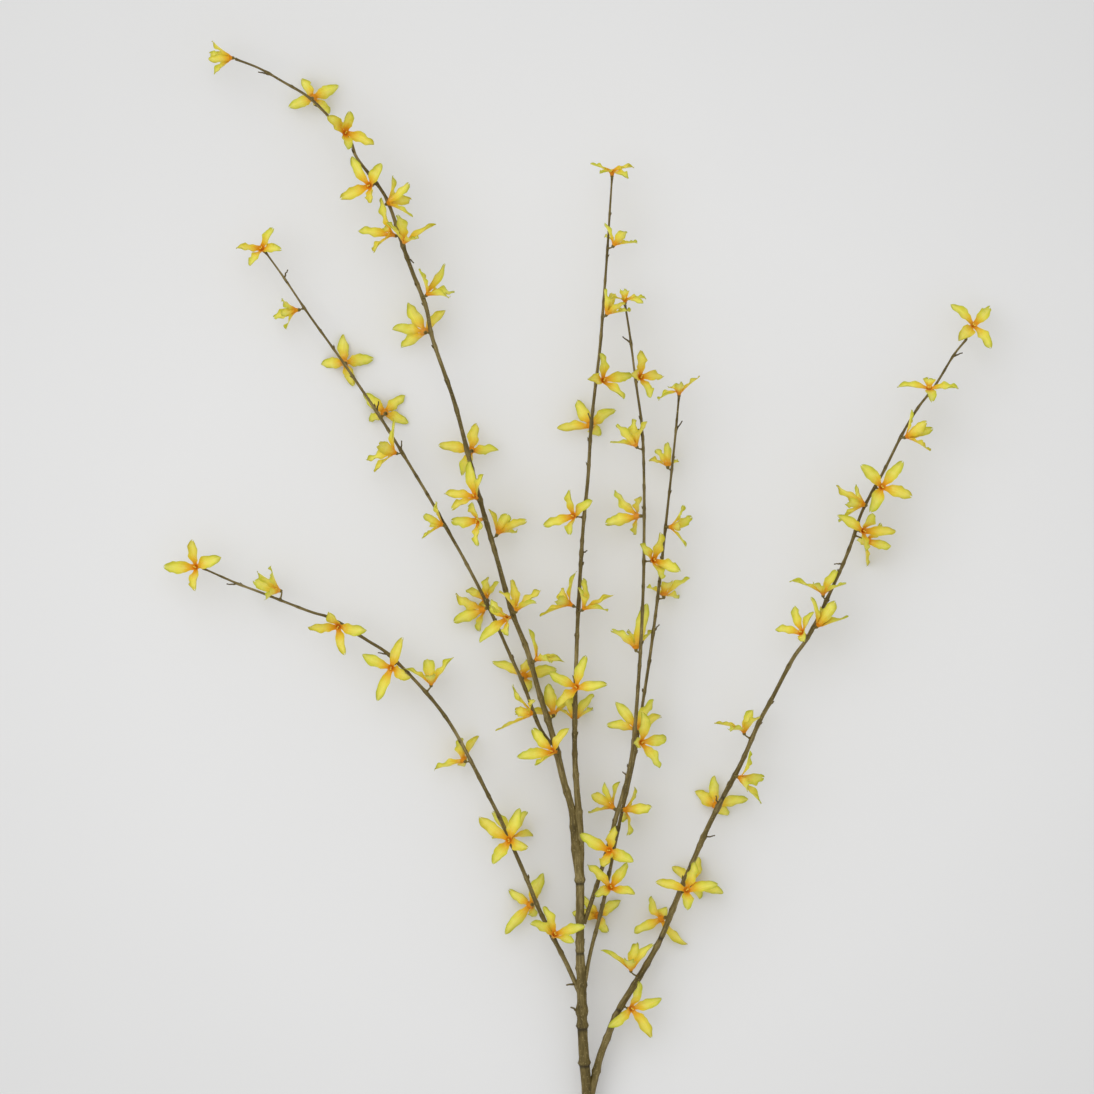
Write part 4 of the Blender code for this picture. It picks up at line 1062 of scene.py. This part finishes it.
def add_calyx(shape, bloom, fresh):
    """A cup with four pointed lobes round the foot of the bloom's tube."""
    base = bloom["throat"] - bloom["axis"] * bloom["tube"]
    shares = np.array([share for share, _ in CALYX_RINGS])[:, None]
    lobes = np.maximum(shares - CALYX_CUP, 0) * (0.5 + 0.5 * np.cos(PETALS * RING_ANGLES))
    rise = (np.minimum(shares, CALYX_CUP) + lobes) * CALYX_HEIGHT
    rings = rings_round(bloom, base, 0, CALYX_RINGS) + rise[..., None] * bloom["axis"]
    marks = marks_of(np.linspace(CALYX_DARK, 0, len(rings)), 0.5, fresh)
    shape.grid(rings, marks[:, None], GREEN_SLOT, rings - base, around=True)


def add_stamens(shape, bloom, draw):
    """Two stamens side by side in the throat."""
    throat, axis = bloom["throat"], bloom["axis"]
    side = turned(*side_axes(axis), draw.uniform(0, math.pi))
    for way in (1, -1):
        top = throat + side * way * ANTHER_OUT + axis * ANTHER_UP
        foot = throat - axis * FILAMENT_DEPTH * bloom["tube"] + side * way * FILAMENT_OUT
        line = foot + (top - foot) * np.linspace(0, 1, FILAMENT_POINTS)[:, None]
        tube(shape, line, FILAMENT_RADIUS, FILAMENT_SIDES, PETAL_SLOT, (FILAMENT_MARK, 0.5, 0.5))
        ball(shape, top, ANTHER, unit(axis + side * way * ANTHER_LEAN), PETAL_SLOT, (ANTHER_MARK, 0.5, 0.5))


def stalk_curve(bloom, foot):
    """A stalk from behind the bloom's tube to its foot, leaving the tube in line with it."""
    base = bloom["throat"] - bloom["axis"] * (bloom["tube"] - STALK_OVERLAP)
    bend = base - bloom["axis"] * STALK_BEND * np.linalg.norm(foot - base)
    return curve(base, bend, foot, np.linspace(0, 1, STALK_RINGS)[:, None])


def make_blooms(blooms, lines, petal, green):
    """One object for each node, and the places where its stalks leave the bark."""
    feet = []
    for stem, nodes in BLOOMS_PX.items():
        for number in range(len(nodes)):
            group = [bloom for bloom in blooms if bloom["key"][:2] == (stem, number)]
            name = f"bloom_{stem}_{number + 1}"
            shape = Shape()
            for bloom in group:
                base = bloom["throat"] - bloom["axis"] * (bloom["tube"] + STALK_LEAN)
                bark, outward = root_on(lines[stem], base)
                feet.append((stem, bark))
                add_bloom(shape, bloom, stalk_curve(bloom, bark - outward * ROOT_SINK))
                ball(shape, bark, SCALE_RADII, outward, GREEN_SLOT, (SCALE_DARK, 0.5, 0.5))
            made = shape.object(name + "_fine", [petal, green])
            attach(made, "root")
            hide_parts(name)
    return feet


class Nodes:
    """Shader nodes of one material, wired by short calls."""

    def __init__(self, name):
        self.material = bpy.data.materials.new(name)
        self.material.use_nodes = True
        self.tree = self.material.node_tree
        self.shader = self.tree.nodes["Principled BSDF"]

    def add(self, kind, inputs=(), **settings):
        made = self.tree.nodes.new("ShaderNode" + kind)
        for key, value in settings.items():
            setattr(made, key, value)
        for key, value in dict(inputs).items():
            self.feed(made.inputs[key], value)
        return made

    def feed(self, socket, value):
        if isinstance(value, bpy.types.NodeSocket):
            self.tree.links.new(value, socket)
        else:
            socket.default_value = value

    def math(self, operation, *values, clamp=False):
        made = self.add("Math", operation=operation, use_clamp=clamp)
        for socket, value in zip(made.inputs, values):
            self.feed(socket, value)
        return made.outputs[0]

    def times(self, *values, clamp=False):
        return self.math("MULTIPLY", *values, clamp=clamp)

    def stretched(self, vector, factors):
        made = self.add("VectorMath", {0: vector, 1: factors}, operation="MULTIPLY")
        return made.outputs[0]

    def spot(self, across, along, own, scale):
        """The place in a noise of its own at which a petal's point is looked up."""
        places = {"X": self.times(across, scale[0]), "Y": self.times(along, scale[1]), "Z": own}
        return self.add("CombineXYZ", places).outputs[0]

    def noise(self, vector, **settings):
        return self.add("TexNoise", {"Vector": vector, "Scale": 1.0} | settings).outputs["Fac"]

    def mark(self):
        made = self.add("Attribute", attribute_name="mark")
        return self.add("SeparateColor", {"Color": made.outputs["Color"]}).outputs

    def mix(self, factor, one, other, blend="MIX"):
        made = self.add("Mix", data_type="RGBA", blend_type=blend)
        self.feed(made.inputs[0], factor)
        self.feed(made.inputs[6], one)
        self.feed(made.inputs[7], (*other, 1.0))
        return made.outputs[2]

    def ramp(self, value, stops):
        made = self.add("ValToRGB", {"Fac": value})
        elements = made.color_ramp.elements
        for number, (place, colour) in enumerate(stops):
            element = elements[number] if number < len(elements) else elements.new(place)
            element.position = place
            element.color = (*colour, 1.0)
        return made.outputs["Color"]

    def bump(self, height, strength, distance):
        made = self.add("Bump", {"Height": height, "Strength": strength, "Distance": distance})
        self.feed(self.shader.inputs["Normal"], made.outputs[0])

    def finish(self, colour, settings):
        """The material with this colour and these numbers set on its shader."""
        self.feed(self.shader.inputs["Base Color"], colour)
        for name, value in settings.items():
            self.shader.inputs[name].default_value = value
        return self.material


def petal_material():
    """Orange at the throat, lemon further out and greenish at the rim, with fine veins."""
    nodes = Nodes("petal")
    along, across, fresh = list(nodes.mark())[:3]
    from_middle = nodes.math("ABSOLUTE", nodes.math("MULTIPLY_ADD", across, 2.0, -1.0))
    place = nodes.math("MULTIPLY_ADD", along, 1 - THROAT_SHARE, THROAT_SHARE, clamp=True)
    colour = nodes.ramp(place, PETAL_STOPS)
    rim = nodes.math("POWER", from_middle, RIM_POWER)
    colour = nodes.mix(nodes.times(rim, nodes.times(along, RIM_GROWTH), clamp=True), colour, RIM_COLOUR)
    green = nodes.math("GREATER_THAN", fresh, GREEN_ABOVE)
    colour = nodes.mix(nodes.times(green, nodes.times(along, GREENING), clamp=True), colour, GREEN_COLOUR)
    warm = nodes.math("LESS_THAN", fresh, WARM_BELOW)
    colour = nodes.mix(nodes.times(warm, WARMING), colour, WARM_COLOUR)
    own = nodes.times(fresh, OWN_PATTERN)
    vein = nodes.noise(nodes.spot(across, along, own, VEIN_SCALE), Detail=3.0, Roughness=0.6)
    blotch = nodes.noise(nodes.spot(across, along, own, BLOTCH_SCALE), Detail=2.0)
    darker = nodes.times(nodes.math("SUBTRACT", VEIN_LEVEL, vein), VEIN_STRENGTH, clamp=True)
    colour = nodes.mix(darker, colour, VEIN_COLOUR, "MULTIPLY")
    rib = nodes.math("POWER", nodes.math("SUBTRACT", 1.0, from_middle), 2.0)
    colour = nodes.mix(nodes.times(rib, nodes.times(along, RIB_STRENGTH), clamp=True), colour, RIB_COLOUR)
    lighter = nodes.times(nodes.math("SUBTRACT", blotch, 0.5), BLOTCH_STRENGTH, clamp=True)
    colour = nodes.mix(lighter, colour, BLOTCH_COLOUR)
    nodes.bump(vein, VEIN_BUMP, VEIN_HEIGHT)
    return nodes.finish(colour, PETAL_SHADER)


def bark_material(name, dark, middle, light, scar):
    """Bark streaked along its grain, with pale pores, weathered patches and dark scars."""
    nodes = Nodes(name)
    scarred = nodes.mark()[0]
    grain = nodes.add("Attribute", attribute_name="grain").outputs["Vector"]
    streak = nodes.noise(nodes.stretched(grain, STREAK_SCALE), Detail=5.0, Roughness=0.65)
    cells = nodes.add("TexVoronoi", {"Vector": nodes.stretched(grain, PORE_SCALE), "Scale": 1.0})
    pores = cells.outputs["Distance"]
    patch = nodes.noise(nodes.stretched(grain, PATCH_SCALE), Detail=2.0)
    value = nodes.math("MULTIPLY_ADD", patch, PATCH_SHARE, nodes.times(streak, 1 - PATCH_SHARE))
    colour = nodes.ramp(value, zip(BARK_STOPS, (dark, middle, light)))
    pore = nodes.times(nodes.math("LESS_THAN", pores, PORE_SIZE), PORE_STRENGTH)
    colour = nodes.mix(pore, colour, light)
    colour = nodes.mix(nodes.times(scarred, SCAR_STRENGTH, clamp=True), colour, scar)
    nodes.bump(nodes.math("SUBTRACT", streak, nodes.times(pores, PORE_DEPTH)), BARK_BUMP, BARK_HEIGHT)
    return nodes.finish(colour, BARK_SHADER)


def floor_material():
    """Pale paper with a painted shade that darkens it a little away from its middle, where the light falls
    off.
    """
    nodes = Nodes("surface")
    place = nodes.add("TexCoord").outputs["Object"]
    grain = nodes.noise(place, Scale=FLOOR_SCALE, Detail=3.0)
    # Painted shade: the paper darkens with distance from its middle, standing in for the light falling off.
    distance = nodes.add("VectorMath", {0: place}, operation="LENGTH").outputs["Value"]
    share = nodes.math("MULTIPLY_ADD", grain, FLOOR_GRAIN, nodes.times(distance, FLOOR_SHADE_FALL))
    return nodes.finish(nodes.ramp(share, FLOOR_STOPS), FLOOR_SHADER)


def make_stage():
    """The surface that the branch lies on, an even sky and one large soft lamp."""
    mesh = bpy.data.meshes.new("surface")
    corners = [(x * FLOOR_HALF, y * FLOOR_HALF, 0) for x, y in ((-1, -1), (1, -1), (1, 1), (-1, 1))]
    mesh.from_pydata(corners, [], [(0, 1, 2, 3)])
    mesh.materials.append(floor_material())
    floor = placed("surface", mesh)
    world = bpy.data.worlds.new("sky")
    world.use_nodes = True
    background = world.node_tree.nodes["Background"]
    background.inputs["Color"].default_value = (1.0, 1.0, 1.0, 1.0)
    background.inputs["Strength"].default_value = SKY_STRENGTH
    bpy.context.scene.world = world
    data = bpy.data.lights.new("softbox", "AREA")
    data.shape = "SQUARE"
    data.size = LAMP_SIZE
    data.energy = LAMP_POWER
    lamp = placed("softbox", data)
    lamp.location = LAMP_PLACE
    lamp.rotation_euler = (-lamp.location).to_track_quat("-Z", "Y").to_euler()


def make_camera():
    """A long lens straight above the picture's middle."""
    data = bpy.data.cameras.new("camera")
    data.sensor_width = SENSOR
    data.lens = SENSOR * (CAMERA_HEIGHT - PICTURE_LEVEL) / PICTURE_WIDTH
    data.clip_end = CAMERA_REACH
    camera = placed("camera", data)
    camera.location = (*flat(CAMERA_PX), CAMERA_HEIGHT)
    bpy.context.scene.camera = camera


def main():
    lines = stem_lines()
    blooms = seat_blooms(lines)
    bend_clear(blooms, lines)
    petal = petal_material()
    green = bark_material("stalk", *STALK_COLOURS)
    bark = bark_material("bark", *BARK_COLOURS)
    feet = make_blooms(blooms, lines, petal, green)
    wood = make_wood(lines, feet, bark)
    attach(wood, "root")
    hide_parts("wood")
    make_stage()
    make_camera()
    bpy.context.scene.view_settings.view_transform = "Standard"


main()
